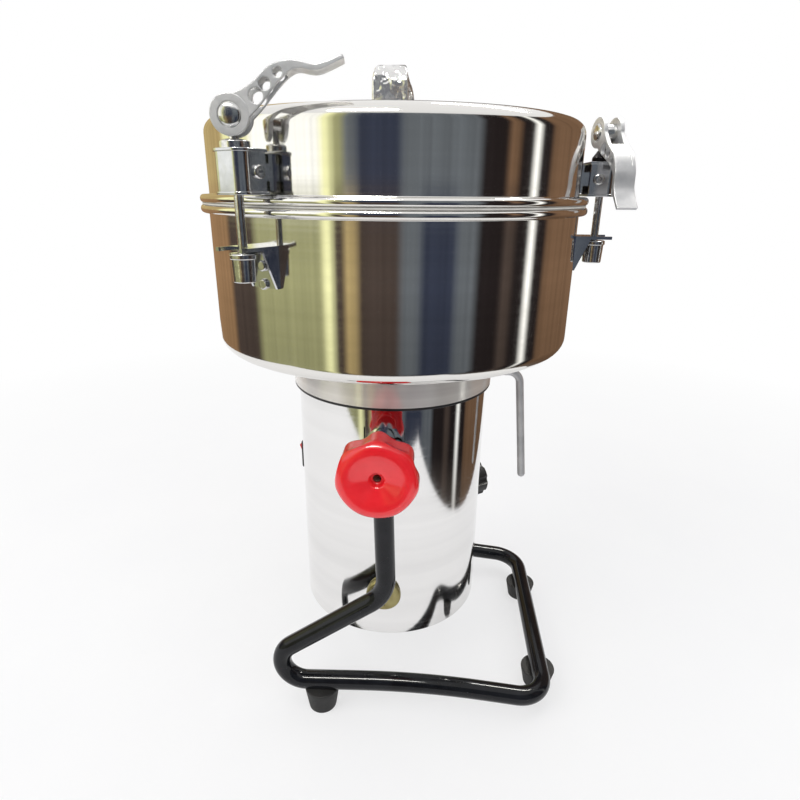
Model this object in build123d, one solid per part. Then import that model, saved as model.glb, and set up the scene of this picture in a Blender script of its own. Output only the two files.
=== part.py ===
from build123d import *
import os
from math import cos, pi, radians, sin

os.makedirs("parts", exist_ok=True)

# Clearances shared by all pieces
overrun = 1.0  # how far a cutter runs past a face
running_fit = 0.05  # radial, a pin or shaft in its hole
seat_gap = 0.1  # fixed pieces that sit in one another
move_gap = 0.3  # faces that move past each other
edge_round = 0.8  # small rounding on moulded edges

# Heights, from the floor up
floor_clearance = 56.0  # under the motor housing
housing_h = 186.5
shadow_gap = 1.5  # dark line between housing and collar
collar_h = 31.5
bowl_h = 89.5  # bowl wall below its rim bead
bead_h = 5.0
gasket_t = 1.0
lid_h = 44.0  # lid above its own bead
pivot_down = 26.5  # tilt axis below the housing's top edge

housing_z = floor_clearance
collar_z = housing_z + housing_h + shadow_gap
bowl_z = collar_z + collar_h
rim_z = bowl_z + bowl_h
gasket_z = rim_z + bead_h
lid_z = gasket_z + gasket_t
lid_bead_top = lid_z + bead_h
lid_top = lid_bead_top + lid_h
pivot_z = housing_z + housing_h - pivot_down

# Motor housing and collar
housing_r = 72.0
housing_wall = 1.5
housing_in_r = housing_r - housing_wall
collar_over = 3.5  # collar beyond the housing
collar_r = housing_r + collar_over
collar_wall = 9.0
collar_plate_t = 12.5
collar_edge_r = 2.0
spigot_h = 7.0
spigot_wall = 4.0
collar_hub_r = 26.0
collar_hub_h = 17.0
bowl_boss_r = 21.8  # collar boss that centres the bowl
bowl_boss_h = 7.5

# Bowl and lid, spun from sheet
bowl_r = 125.0
bowl_wall = 1.8
bowl_floor_t = 3.0
bowl_corner_r = 9.0
bead_out = 5.0
bead_r = bowl_r + bead_out
bead_edge_r = 2.3
lid_step = 1.0  # lid wall inside the bowl wall
lid_r = bowl_r - lid_step
lid_wall = 1.8
lid_corner_r = 8.5
gasket_in = 5.0  # inside the lid wall
gasket_edge = 1.2  # inside the beads
gasket_in_r = lid_r - gasket_in
gasket_out_r = bead_r - gasket_edge

# Lid handle, a bent strap along Y
handle_w = 22.0
handle_t = 4.0
handle_span = 84.0
handle_h = 30.0
handle_bend_r = 11.0
handle_edge_r = 1.6

# Stand, one bent tube
tube_d = 14.0
tube_wall = 1.6
stand_gap = 18.0  # arm axis outside the housing
stand_half_w = housing_r + stand_gap
tube_above_pivot = 4.5
foot_h = 12.0
knee_x = 3.5
knee_z = 107.7
heel_x = -118.8  # where the slope and the floor run would meet
arch_x = 32.0
arch_rise = 9.0
toe_x = 125.0
knee_bend_r = 26.0
heel_bend_r = 18.0
arch_bend_r = 600.0
toe_bend_r = 22.0
tube_r = tube_d / 2
run_z = foot_h + tube_r

# Rubber feet and their screws
foot_top_d = 27.0
foot_base_d = 21.0
foot_saddle = 3.0  # how far a foot cups the tube
foot_run_x = -46.0
foot_toe_in = 36.0  # toe feet inboard of the arms
foot_toe_y = stand_half_w - foot_toe_in
foot_screw_d = 4.0
foot_head_d = 8.0
foot_head_h = 3.0

# Clamp knobs and their studs on the tilt axis
stud_d = 8.0
stud_head_d = 10.0
stud_head_h = 4.5
knob_d = 52.0
knob_h = 24.0
knob_hub_d = 26.0
knob_hub_h = 4.5
knob_dish_d = 33.0
knob_dish_depth = 4.0
knob_rim_r = 5.0
knob_flutes = 7
knob_flute_d = 16.0
knob_flute_in = 3.2  # how deep a flute bites
knob_front_rim = 8.0  # unfluted rim at the front
boss_d = 26.0
boss_flange_d = 40.0
boss_flange_t = 4.0

# Latches
latch_angles = (0.0, 120.0, -120.0)
lever_headings = (-78.0, 0.0, 8.0)
lever_drops = (75.0, 0.0, 0.0)  # degrees each lever hangs below its raised pose
rod_out = 10.5  # rod axis outside the beads
rod_d = 5.0
pin_in = 4.5  # hinge pin inboard of the rod
pin_d = 3.6
pin_head_d = 7.0
pin_head_h = 2.0
yoke_lift = 0.3  # yoke above the lid bead
yoke_h = 21.6
yoke_w = 21.0
yoke_t = 1.6
yoke_nose = 8.0  # yoke beyond the rod axis
yoke_back = 5.5  # yoke inboard of the pin
yoke_nose_r = 7.0
pin_up = 10.9
lug_w = 16.8
lug_gap = 7.6
lug_eye_r = 4.2
lug_base_t = 2.4
lug_base_h = 17.5
seat_d = 15.5
seat_heights = (7.6, 4.2, 4.2)  # the right seat is a tall dome
seat_rim_shares = (0.35, 0.8, 0.8)
seat_top_d = 8.6
barrel_d = 11.0
lever_l = 55.0
lever_w = 14.0
lever_disc_r = 9.4
lever_fork_gap = 8.4
lever_web_t = 1.6
lever_web_in = 0.4  # web below the lever's upper edge
lever_clear = 0.8  # lever root above the cam seat
keeper_below = 14.3  # keeper plate below the bowl bead
keeper_t = 2.0
keeper_w = 20.0
keeper_nose = 9.5  # plate beyond the rod axis
keeper_hold = 1.2  # narrow slot beyond the rod axis
keeper_slot_gap = 0.3
keeper_base_h = 23.0
keeper_gusset_t = 1.5
keeper_gusset_out = 11.0
nut_slack = 1.2
nut_d = 15.0
nut_h = 15.0
nut_rim_h = 3.0
nut_body_d = 13.6
nut_base_d = 12.6
rivet_d = 3.2
rivet_head_d = 6.0
rivet_head_h = 1.8
rivet_pitch = 10.0
rivet_down = 9.0

rod_r = bead_r + rod_out
pin_r = rod_r - pin_in
yoke_z = lid_bead_top + yoke_lift
yoke_top = yoke_z + yoke_h
pin_z = yoke_z + pin_up
barrel_heights = [yoke_top + high + lever_clear + lever_disc_r for high in seat_heights]
keeper_top = rim_z - keeper_below
keeper_under = keeper_top - keeper_t
nut_top = keeper_under - nut_slack

# Lever side view, as shares of its length: upper edge, then lower edge
lever_top_shares = ((-0.02, 0.143), (0.19, 0.24), (0.37, 0.385), (0.56, 0.425), (0.76, 0.398), (0.985, 0.475))
lever_low_shares = ((1.0, 0.443), (0.77, 0.35), (0.58, 0.36), (0.43, 0.25), (0.27, 0.075), (0.12, -0.065))
lever_hole_shares = ((0.235, 0.15, 0.06), (0.315, 0.243, 0.048), (0.43, 0.333, 0.038))
lever_fork_share = 0.5

# Tilt handle rod at the side
grab_d = 6.0
grab_up = 5.5  # above the collar's lower edge
grab_reach = 22.0  # beyond the collar
grab_lean = 8.6
grab_l = 86.5
grab_bend_r = 9.0
grab_insert = 7.0

# Motor inside the housing
shaft_d = 16.0
shaft_low_d = 12.0
shaft_top_d = 15.0
blade_bore_d = 12.0
bearing_low_d = 32.0
bearing_up_d = 35.0
bearing_w = 10.0
bearing_low_up = 8.0  # above the housing's bottom edge
bracket_ring_w = 5.0
bracket_arm_w = 14.0
bracket_arms = 3
bracket_h = 12.0
bracket_hub_wall = 4.0
bracket_lip = 1.5
core_gap = 22.5  # air between core and housing
core_bore_share = 0.5625  # of the core's radius
air_gap = 0.6
core_r = housing_in_r - core_gap
core_bore_r = core_r * core_bore_share
armature_r = core_bore_r - air_gap
core_up = 66.0
coil_t = 8.0
coil_inset = 5.0
coil_in = core_bore_r + coil_inset
coil_w_share = 1.0  # of the core's radius
coil_w = core_r * coil_w_share
coil_bar = 8.0
coil_end = 9.0
bolt_d = 5.0
bolt_in = 7.0  # inside the core's edge
bolt_pitch_r = core_r - bolt_in
bolt_head_d = 8.5
bolt_head_h = 5.0
bolt_grip = 6.0
brush_up = 38.0
commutator_r = 15.5
commutator_h = 20.0
commutator_bars = 16
bar_groove = 0.8
brush_side = 8.0
brush_l = 22.0
holder_d = 18.0
holder_bore_d = 11.8
cap_d = 26.0
cap_t = 4.0
cap_plug_l = 10.0
cap_slot_w = 2.5
fan_down = 40.5  # fan disc below the housing's top edge
fan_gap = 3.0  # between the coil ends and the fan
fan_up = housing_h - fan_down
core_h = fan_up - fan_gap - coil_bar - coil_end - core_up
fan_clear = 2.5  # fan inside the stator bolts
fan_r = bolt_pitch_r - bolt_d / 2 - fan_clear
fan_h = 14.0
fan_blades = 9
fan_blade_t = 2.0
fan_hub_r = 14.0
fan_disc_t = 2.0

# Blades in the bowl
sleeve_r = 10.0
sleeve_low_h = 18.0
sleeve_mid_h = 14.0
blade_t = 2.5
blade_gap = 17.0  # blade tip inside the bowl
blade_step = 20.0
blade_low_r = bowl_r - blade_gap
blade_up_r = blade_low_r - blade_step
blade_turns = (25.0, 115.0)
blade_w = 30.0
blade_tip_share = 0.45
blade_nut_d = 22.0
blade_nut_h = 9.0
seal_r = 13.0
seal_h = 9.0

# Bottom cover and case screws
cover_t = 2.5
cover_recess = 1.5
cover_slots = 10
cover_slot_w = 5.0
cover_slot_l = 26.0
cover_slot_in = 30.5  # slot middle inside the housing wall
cover_slot_r = housing_in_r - cover_slot_in
screw_d = 4.0
screw_head_d = 8.0
screw_head_h = 2.6
screw_l = 9.0
cover_screw_in = 2.7  # inside the housing wall
cover_screw_r = housing_in_r - cover_screw_in
cover_screw_d = 3.0
cover_screw_head_d = 5.0
cover_screws = 3
cover_screw_turn = 30.0
bowl_screw_in = 15.5  # inside the collar's edge
bowl_screw_r = collar_r - bowl_screw_in
bowl_screws = 6

# Controls round the housing: angle from +X, height above the housing's bottom edge
timer_angle = 35.0
timer_up = 75.0
timer_side = 36.0
timer_depth = 13.0
timer_gap = 2.5
timer_bush_d = 11.0
timer_bush_out = 3.0
timer_shaft_d = 6.0
timer_knob_d = 33.0
timer_knob_h = 17.0
timer_lobes = 7
timer_lobe_d = 9.0
timer_knob_gap = 2.0
switch_angle = 177.0
switch_up = 118.0
switch_body_h = 19.0
switch_body_w = 12.8
switch_depth = 17.0
bezel_over = 2.0
bezel_t = 2.2
rocker_l = 15.6
rocker_w = 9.6
rocker_high = 5.0
rocker_dip = 1.2
rocker_under = 2.0
rocker_tilt = 8.0
rocker_well_l = 18.0
rocker_well = 5.0
rocker_pin_d = 2.4
reset_angle = 150.0
reset_up = 92.0
reset_body_d = 14.0
reset_body_l = 16.0
reset_bush_d = 10.0
reset_nut_d = 15.0
reset_nut_t = 2.5
reset_d = 6.6
reset_out = 4.0
reset_travel = 2.5
gland_angle = 120.0
gland_up = 30.0
gland_d = 12.0
gland_nut_d = 19.0
gland_nut_t = 4.5
gland_dome_d = 15.0
gland_dome_l = 8.0
gland_bore_d = 7.0
gland_tail = 5.0

near_angle = -90.0
far_angle = 90.0
side_angles = (near_angle, far_angle)
on_floor = (Align.CENTER, Align.CENTER, Align.MIN)


# Shape helpers
def rod_at(radius, height, z=0.0):
    return Pos(0, 0, z) * Cylinder(radius, height, align=on_floor)


def ring(outer, inner, height, z=0.0):
    return rod_at(outer, height, z) - rod_at(inner, height + 2 * overrun, z - overrun)


def block(length, width, height, z=0.0):
    return Pos(0, 0, z) * Box(length, width, height, align=on_floor)


def outward(angle, start, z):
    # Stands a piece built along +Z on its side, pointing away from the motor axis
    return Rot(0, 0, angle) * Pos(start, 0, z) * Rot(0, 90, 0)


def corner(before, point, after, radius):
    # Tangent points and middle of the arc that rounds one corner of a path
    u = (before - point).normalized()
    v = (after - point).normalized()
    bisector = (u + v).normalized()
    half = radians(u.get_angle(v)) / 2
    reach = radius / (sin(half) / cos(half))
    middle = point + bisector * (radius / sin(half) - radius)
    return point + u * reach, middle, point + v * reach


def bent_path(points, radii, closed=False):
    # A wire of straight lengths and arcs; radius 0 leaves a corner sharp
    points = [Vector(*p) for p in points]
    count = len(points)
    edges = []
    stops = []
    for i, point in enumerate(points):
        inner = closed or 0 < i < count - 1
        if inner and radii[i] > 0:
            stops.append(corner(points[i - 1], point, points[(i + 1) % count], radii[i]))
        else:
            stops.append((point, None, point))
    for i in range(count):
        start, middle, end = stops[i]
        if middle is not None:
            edges.append(Edge.make_three_point_arc(start, middle, end))
        if i + 1 < count or closed:
            nxt = stops[(i + 1) % count][0]
            if (nxt - end).length > running_fit / 100:
                edges.append(Edge.make_line(end, nxt))
    return Wire(edges)


def turned(profile):
    # Spins (radius, height, corner radius) points about Z
    path = bent_path([(r, 0, z) for r, z, _ in profile], [c for _, _, c in profile], closed=True)
    return revolve(Face(path), Axis.Z, 360)


def along(path, radius):
    start = Plane(origin=path @ 0, z_dir=path % 0)
    return sweep(start * Circle(radius), path=path)


def around(count, radius=0.0, first=0.0):
    return [Rot(0, 0, first + 360 * i / count) * Pos(radius, 0, 0) for i in range(count)]


def group(solids):
    return Compound(children=list(solids))


def hexagon(across, height, z=0.0):
    return Pos(0, 0, z) * extrude(RegularPolygon(across / 2, 6, major_radius=False), height)


def pan_screw(shank_d, length, head_d, head_h):
    # Head on top of z = 0, shank below, with a slot across the head
    head = fillet(rod_at(head_d / 2, head_h).edges().group_by(Axis.Z)[-1], head_h / 3)
    slot = block(head_d + overrun, head_h / 2, head_h, head_h * 2 / 3)
    return head + rod_at(shank_d / 2, length, -length) - slot


# Stand
def stand_points(side):
    y = side * stand_half_w
    return [
        (0, y, pivot_z + tube_above_pivot),
        (knee_x, y, knee_z),
        (heel_x, y, run_z),
        (arch_x, y, run_z + arch_rise),
        (toe_x, y, run_z),
    ]


def stand_frame():
    points = stand_points(-1) + stand_points(1)[::-1]
    bends = [0, knee_bend_r, heel_bend_r, arch_bend_r, toe_bend_r]
    path = bent_path(points, bends + bends[::-1])
    tube = along(path, tube_r) - along(path, tube_r - tube_wall)
    for side in (-1, 1):
        top = Pos(0, side * stand_half_w, pivot_z + tube_above_pivot)
        tube += top * Sphere(tube_r, arc_size1=0)
        hole = Cylinder(stud_d / 2 + running_fit, tube_d + 2 * overrun)
        tube -= Pos(0, side * stand_half_w, pivot_z) * Rot(90, 0, 0) * hole
    return tube - foot_screw_holes()


def run_height(x):
    # Tube axis height on the straight between the heel and the arch
    return run_z + arch_rise * (x - heel_x) / (arch_x - heel_x)


def foot_places():
    slope = arch_rise / (arch_x - heel_x)
    runs = [(foot_run_x, side * stand_half_w, run_height(foot_run_x), slope, 0) for side in (-1, 1)]
    toes = [(toe_x, side * foot_toe_y, run_z, 0, 90) for side in (-1, 1)]
    return runs + toes


def foot_screw_holes():
    hole = rod_at(foot_screw_d / 2 + seat_gap, run_z)
    return [Pos(x, y, 0) * hole for x, y, *_ in foot_places()]


def stand_feet():
    feet = []
    for x, y, axis_z, slope, turn in foot_places():
        top = axis_z - tube_r + foot_saddle
        foot = Pos(x, y, 0) * turned(
            [(0, 0, 0), (foot_base_d / 2, 0, edge_round), (foot_top_d / 2, top, edge_round), (0, top, 0)]
        )
        lie = Pos(x, y, axis_z) * Rot(0, 0, turn) * Rot(0, 90 - slope * 180 / pi, 0)
        foot -= lie * Cylinder(tube_r + seat_gap, 2 * foot_top_d)
        foot -= Pos(x, y, 0) * rod_at(foot_screw_d / 2 + seat_gap, top + overrun)
        foot -= Pos(x, y, 0) * rod_at(foot_head_d / 2 + seat_gap, foot_head_h + 2 * edge_round)
        feet.append(foot)
    return group(feet)


def foot_screws():
    screws = []
    for x, y, axis_z, *_ in foot_places():
        base = foot_head_h + 2 * edge_round
        length = axis_z - tube_r + 2 * tube_wall - base
        screw = pan_screw(foot_screw_d, length, foot_head_d, foot_head_h)
        screws.append(Pos(x, y, base) * Rot(180, 0, 0) * screw)
    return group(screws)


# Bowl, lid and gasket
def keeper_rivet_places():
    z = keeper_under - rivet_down
    return [(angle, z - i * rivet_pitch) for angle in latch_angles for i in range(2)]


def bowl():
    inner = bowl_r - bowl_wall
    shell = turned(
        [
            (bowl_boss_r + seat_gap, bowl_z, 0),
            (bowl_r, bowl_z, bowl_corner_r),
            (bowl_r, rim_z, 0),
            (bead_r, rim_z, bead_edge_r),
            (bead_r, gasket_z, bead_edge_r),
            (inner, gasket_z, 0),
            (inner, bowl_z + bowl_floor_t, bowl_corner_r - bowl_wall),
            (bowl_boss_r + seat_gap, bowl_z + bowl_floor_t, 0),
        ]
    )
    for angle, z in keeper_rivet_places():
        shell -= outward(angle, 0, z) * rod_at(rivet_d / 2 + seat_gap, bowl_r + overrun)
    hole = rod_at(screw_d / 2 + seat_gap, bowl_floor_t + 2 * overrun, bowl_z - overrun)
    return shell - [spot * hole for spot in around(bowl_screws, bowl_screw_r)]


def lid():
    inner = lid_r - lid_wall
    return turned(
        [
            (inner, lid_z, 0),
            (bead_r, lid_z, bead_edge_r),
            (bead_r, lid_bead_top, bead_edge_r),
            (lid_r, lid_bead_top, 0),
            (lid_r, lid_top, lid_corner_r),
            (0, lid_top, 0),
            (0, lid_top - lid_wall, 0),
            (inner, lid_top - lid_wall, lid_corner_r - lid_wall),
        ]
    )


def lid_gasket():
    return ring(gasket_out_r, gasket_in_r, gasket_t, gasket_z)


def lid_handle():
    half = handle_span / 2
    high = lid_top + handle_h
    outer = bent_path(
        [(0, -half, lid_top), (0, -half, high), (0, half, high), (0, half, lid_top)],
        [0, handle_bend_r, handle_bend_r, 0],
    )
    inner_half = half - handle_t
    inner_r = handle_bend_r - handle_t
    inner = bent_path(
        [(0, -inner_half, lid_top), (0, -inner_half, high - handle_t), (0, inner_half, high - handle_t),
         (0, inner_half, lid_top)],
        [0, inner_r, inner_r, 0],
    )
    feet = [Edge.make_line((0, s * half, lid_top), (0, s * inner_half, lid_top)) for s in (-1, 1)]
    face = Face(Wire(list(outer.edges()) + list(inner.edges()) + feet))
    strap = Pos(-handle_w / 2, 0, 0) * extrude(face, handle_w, dir=(1, 0, 0))
    edges = [e for e in strap.edges() if abs(abs(e.center().X) - handle_w / 2) < running_fit]
    long_edges = [e for e in edges if e.center().Z > lid_top + running_fit]
    return fillet(long_edges, handle_edge_r)


# Latch brackets that stay with the bowl and lid
def lid_lug():
    eye = Pos(pin_r, 0, pin_z) * Rot(90, 0, 0) * Cylinder(lug_eye_r, lug_w)
    arm_l = pin_r - lid_r + lug_base_t
    arm = Pos(pin_r - arm_l / 2, 0, pin_z) * Box(arm_l, lug_w, 2 * lug_eye_r)
    base_l = 2 * lug_base_t
    base = Pos(lid_r, 0, pin_z) * Box(base_l, lug_w, lug_base_h)
    gap_l = pin_r - lid_r - lug_base_t + lug_eye_r + overrun
    gap_x = lid_r + lug_base_t + gap_l / 2
    lug = eye + arm + base
    lug -= Pos(gap_x, 0, pin_z) * Box(gap_l, lug_gap, 2 * lug_eye_r + overrun)
    lug -= Pos(pin_r, 0, pin_z) * Rot(90, 0, 0) * Cylinder(pin_d / 2 + seat_gap, lug_w + overrun)
    return lug - rod_at(lid_r + seat_gap / 2, lug_base_h * 2, pin_z - lug_base_h)


def hinge_pin():
    reach = yoke_w / 2 + seat_gap
    pin = pan_screw(pin_d, 2 * reach, pin_head_d, pin_head_h)
    tail = Pos(0, 0, -2 * reach - pin_head_h) * hexagon(pin_head_d, pin_head_h)
    return Pos(pin_r, -reach, pin_z) * Rot(90, 0, 0) * (pin + tail)


def keeper_bracket():
    nose = rod_r + keeper_nose
    plate_l = nose - bowl_r + bowl_wall
    plate = Pos(nose - plate_l / 2, 0, keeper_under) * block(plate_l, keeper_w, keeper_t)
    slot_w = rod_d + 2 * keeper_slot_gap
    slot_l = keeper_hold + overrun
    plate -= Pos(rod_r, 0, keeper_under - overrun) * rod_at(slot_w / 2, keeper_t + 2 * overrun)
    plate -= Pos(rod_r + slot_l / 2, 0, keeper_under - overrun) * block(slot_l, slot_w, keeper_t + 2 * overrun)
    mouth_l = keeper_nose - keeper_hold + overrun
    mouth_w = nut_d + 2 * move_gap
    mouth = block(mouth_l, mouth_w, keeper_t + 2 * overrun)
    plate -= Pos(rod_r + keeper_hold + mouth_l / 2, 0, keeper_under - overrun) * mouth
    base_z = keeper_top - keeper_base_h
    base = Pos(bowl_r, 0, base_z) * block(2 * keeper_t, keeper_w, keeper_base_h)
    side = [(bowl_r, 0, base_z), (bowl_r + keeper_t, 0, base_z),
            (bowl_r + keeper_gusset_out, 0, keeper_under), (bowl_r, 0, keeper_under)]
    gusset = extrude(Face(Wire.make_polygon(side)), keeper_gusset_t, dir=(0, 1, 0))
    inside = keeper_w / 2 - keeper_gusset_t
    bracket = plate + base + Pos(0, inside, 0) * gusset + Pos(0, -inside - keeper_gusset_t, 0) * gusset
    for i in range(2):
        z = keeper_under - rivet_down - i * rivet_pitch
        bracket -= outward(0, bowl_r - overrun, z) * rod_at(rivet_d / 2 + seat_gap, keeper_gusset_out)
    return bracket - rod_at(bowl_r + seat_gap / 2, 2 * keeper_base_h, base_z - keeper_base_h / 2)


def keeper_rivet():
    grip = keeper_t + bowl_wall + seat_gap
    head = fillet(rod_at(rivet_head_d / 2, rivet_head_h).edges().group_by(Axis.Z)[-1], rivet_head_h / 2)
    return head + rod_at(rivet_d / 2, grip + rivet_head_h / 2, -grip - rivet_head_h / 2)


def keeper_rivets():
    seat = bowl_r + keeper_t + seat_gap / 2
    return group(outward(angle, seat, z) * keeper_rivet() for angle, z in keeper_rivet_places())


def on_each_latch(piece):
    return group(Rot(0, 0, angle) * piece for angle in latch_angles)


# Swinging half of a latch, built at angle 0 along +X
def latch_yoke():
    back = pin_r - yoke_back
    front = rod_r + yoke_nose
    half = yoke_w / 2
    outer = bent_path(
        [(back, -half, yoke_z), (front, -half, yoke_z), (front, half, yoke_z), (back, half, yoke_z)],
        [0, yoke_nose_r, yoke_nose_r, 0], closed=True,
    )
    body = extrude(Face(outer), yoke_h, dir=(0, 0, 1))
    well_l = front - yoke_t - back + overrun
    well_r = yoke_nose_r - yoke_t
    inner_half = half - yoke_t
    inner = bent_path(
        [(front - yoke_t - well_l, -inner_half, yoke_z + yoke_t), (front - yoke_t, -inner_half, yoke_z + yoke_t),
         (front - yoke_t, inner_half, yoke_z + yoke_t), (front - yoke_t - well_l, inner_half, yoke_z + yoke_t)],
        [0, well_r, well_r, 0], closed=True,
    )
    body -= extrude(Face(inner), yoke_h - 2 * yoke_t, dir=(0, 0, 1))
    body -= Pos(rod_r, 0, yoke_z - overrun) * rod_at(rod_d / 2 + seat_gap, yoke_h + 2 * overrun)
    hole = Cylinder(pin_d / 2 + running_fit, yoke_w + 2 * overrun)
    return body - Pos(pin_r, 0, pin_z) * Rot(90, 0, 0) * hole


def latch_seat(seat_h, rim_share):
    bore = rod_d / 2 + seat_gap
    dome = turned(
        [
            (bore, yoke_top, 0),
            (seat_d / 2, yoke_top, 0),
            (seat_d / 2, yoke_top + seat_h * rim_share, edge_round),
            (seat_top_d / 2, yoke_top + seat_h, edge_round),
            (bore, yoke_top + seat_h, 0),
        ]
    )
    return Pos(rod_r, 0, 0) * dome


def latch_rod(heading, barrel_z):
    bottom = nut_top - nut_h
    stem = rod_at(rod_d / 2, barrel_z - bottom, bottom)
    barrel_l = lever_w + 2 * edge_round
    barrel = Rot(90, 0, 0) * Cylinder(barrel_d / 2, barrel_l)
    barrel = chamfer(barrel.edges().filter_by(GeomType.CIRCLE), edge_round)
    return Pos(rod_r, 0, 0) * Rot(0, 0, heading) * (stem + Pos(0, 0, barrel_z) * barrel)


def latch_nut():
    bore = rod_d / 2 + seat_gap
    base = nut_top - nut_h
    body = turned(
        [
            (bore, base, 0),
            (nut_base_d / 2, base, edge_round),
            (nut_body_d / 2, nut_top - nut_rim_h, 0),
            (nut_d / 2, nut_top - nut_rim_h, edge_round),
            (nut_d / 2, nut_top, edge_round),
            (bore, nut_top, 0),
        ]
    )
    return Pos(rod_r, 0, 0) * body


def lever_point(share):
    return Vector(share[0] * lever_l, 0, share[1] * lever_l)


def lever_web():
    # Joins the two sides of the fork under the lever's upper edge
    shares = lever_top_shares[1:4]
    upper = [lever_point(s) - Vector(0, 0, lever_web_in) for s in shares]
    lower = [point - Vector(0, 0, lever_web_t) for point in upper]
    top = Edge.make_spline(upper)
    under = Edge.make_spline(lower[::-1])
    ends = [Edge.make_line(top @ 1, under @ 0), Edge.make_line(under @ 1, top @ 0)]
    face = Face(Wire([top, ends[0], under, ends[1]]))
    return extrude(face, lever_fork_gap / 2 + lever_web_in, dir=(0, 1, 0), both=True)


def latch_lever(heading, drop, barrel_z):
    upper = Edge.make_spline([lever_point(s) for s in lever_top_shares])
    lower = Edge.make_spline([lever_point(s) for s in lever_low_shares])
    tip = Edge.make_line(upper @ 1, lower @ 0)
    root = Edge.make_line(lower @ 1, upper @ 0)
    arm = extrude(Face(Wire([upper, tip, lower, root])), lever_w / 2, dir=(0, 1, 0), both=True)
    across = Rot(90, 0, 0)
    lever = arm + across * Cylinder(lever_disc_r, lever_w)
    lever -= across * Cylinder(barrel_d / 2 + running_fit, lever_w + overrun)
    for x, z, radius in lever_hole_shares:
        hole = Cylinder(radius * lever_l, lever_w + overrun)
        lever -= Pos(x * lever_l, 0, z * lever_l) * across * hole
    slot_end = lever_fork_share * lever_l
    slot_l = slot_end + 2 * lever_disc_r
    lever -= Pos(slot_end - slot_l / 2, 0, 0) * Box(slot_l, lever_fork_gap, 2 * lever_l)
    lever += lever_web()
    return Pos(rod_r, 0, barrel_z) * Rot(0, 0, heading) * Rot(0, drop, 0) * lever


# Motor housing and what closes it
def housing_cuts():
    wall = 4 * housing_wall
    start = housing_r - wall / 2
    cuts = []
    for angle in side_angles:
        cuts.append(outward(angle, start, pivot_z) * rod_at(boss_d / 2 + seat_gap, wall))
        cuts.append(outward(angle, start, housing_z + brush_up) * rod_at(holder_d / 2 + seat_gap, wall))
    cuts.append(outward(timer_angle, start, housing_z + timer_up) * rod_at(timer_bush_d / 2 + seat_gap, wall))
    cuts.append(outward(reset_angle, start, housing_z + reset_up) * rod_at(reset_bush_d / 2 + seat_gap, wall))
    cuts.append(outward(gland_angle, start, housing_z + gland_up) * rod_at(gland_d / 2 + seat_gap, wall))
    window = block(switch_body_h + 2 * seat_gap, switch_body_w + 2 * seat_gap, wall)
    cuts.append(outward(switch_angle, start, housing_z + switch_up) * window)
    return cuts


def motor_housing():
    shell = ring(housing_r, housing_in_r, housing_h, housing_z)
    return shell - housing_cuts()


def motor_collar():
    bearing_top = bearing_up_z() + bearing_w
    pocket_r = bearing_up_d / 2 + seat_gap / 2
    hub_z = bowl_z - collar_plate_t - collar_hub_h
    seal_bore = seal_r + seat_gap
    boss_top = bowl_z + bowl_boss_h
    profile = [
        (pocket_r, hub_z, 0),
        (collar_hub_r, hub_z, 0),
        (collar_hub_r, bowl_z - collar_plate_t, 0),
        (collar_r - collar_wall, bowl_z - collar_plate_t, 0),
        (housing_in_r - seat_gap - spigot_wall, collar_z - spigot_h, 0),
        (housing_in_r - seat_gap, collar_z - spigot_h, 0),
        (housing_in_r - seat_gap, collar_z, 0),
        (collar_r, collar_z, collar_edge_r),
        (collar_r, bowl_z, 0),
        (bowl_boss_r, bowl_z, 0),
        (bowl_boss_r, boss_top, edge_round),
        (seal_bore, boss_top, 0),
        (seal_bore, bearing_top, 0),
        (pocket_r, bearing_top, 0),
    ]
    body = turned(profile)
    body -= outward(0, collar_r - grab_insert, grab_z()) * rod_at(grab_d / 2 + seat_gap, grab_insert + overrun)
    tapped = rod_at(screw_d / 2 + seat_gap, screw_l, bowl_z - screw_l + overrun)
    body -= [spot * tapped for spot in around(bowl_screws, bowl_screw_r)]
    bolt = rod_at(bolt_d / 2 + seat_gap, bolt_grip + overrun, bowl_z - collar_plate_t - overrun)
    return body - [spot * bolt for spot in around(4, bolt_pitch_r, 45)]


def grab_z():
    return collar_z + grab_up


def tilt_handle():
    z = grab_z()
    points = [
        (collar_r - grab_insert + seat_gap, 0, z),
        (collar_r + grab_reach, 0, z),
        (collar_r + grab_reach + grab_lean, 0, z - grab_l),
    ]
    path = bent_path(points, [0, grab_bend_r, 0])
    rod = along(path, grab_d / 2)
    return rod + Pos(*points[-1]) * Sphere(grab_d / 2)


def cover_screw_spots():
    return around(cover_screws, cover_screw_r, cover_screw_turn)


def bottom_cover():
    z = housing_z + cover_recess
    plate = fillet(rod_at(housing_in_r - seat_gap, cover_t, z).edges().group_by(Axis.Z)[0], edge_round)
    slot = Pos(0, 0, z - overrun) * extrude(SlotOverall(cover_slot_l, cover_slot_w), cover_t + 2 * overrun)
    plate -= [spot * slot for spot in around(cover_slots, cover_slot_r)]
    hole = rod_at(cover_screw_d / 2 + seat_gap, cover_t + 2 * overrun, z - overrun)
    return plate - [spot * hole for spot in cover_screw_spots()]


def case_screws():
    cover_screw = pan_screw(cover_screw_d, screw_l, cover_screw_head_d, screw_head_h)
    low = Pos(0, 0, housing_z + cover_recess) * Rot(180, 0, 0) * cover_screw
    bowl_screw = pan_screw(screw_d, screw_l - overrun, screw_head_d, screw_head_h)
    high = Pos(0, 0, bowl_z + bowl_floor_t) * bowl_screw
    lows = [spot * low for spot in cover_screw_spots()]
    return group(lows + [spot * high for spot in around(bowl_screws, bowl_screw_r)])


# Bearings and the bracket at the bottom
def bearing_low_z():
    return housing_z + bearing_low_up


def bearing_up_z():
    return bowl_z - collar_plate_t - bearing_w


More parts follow.
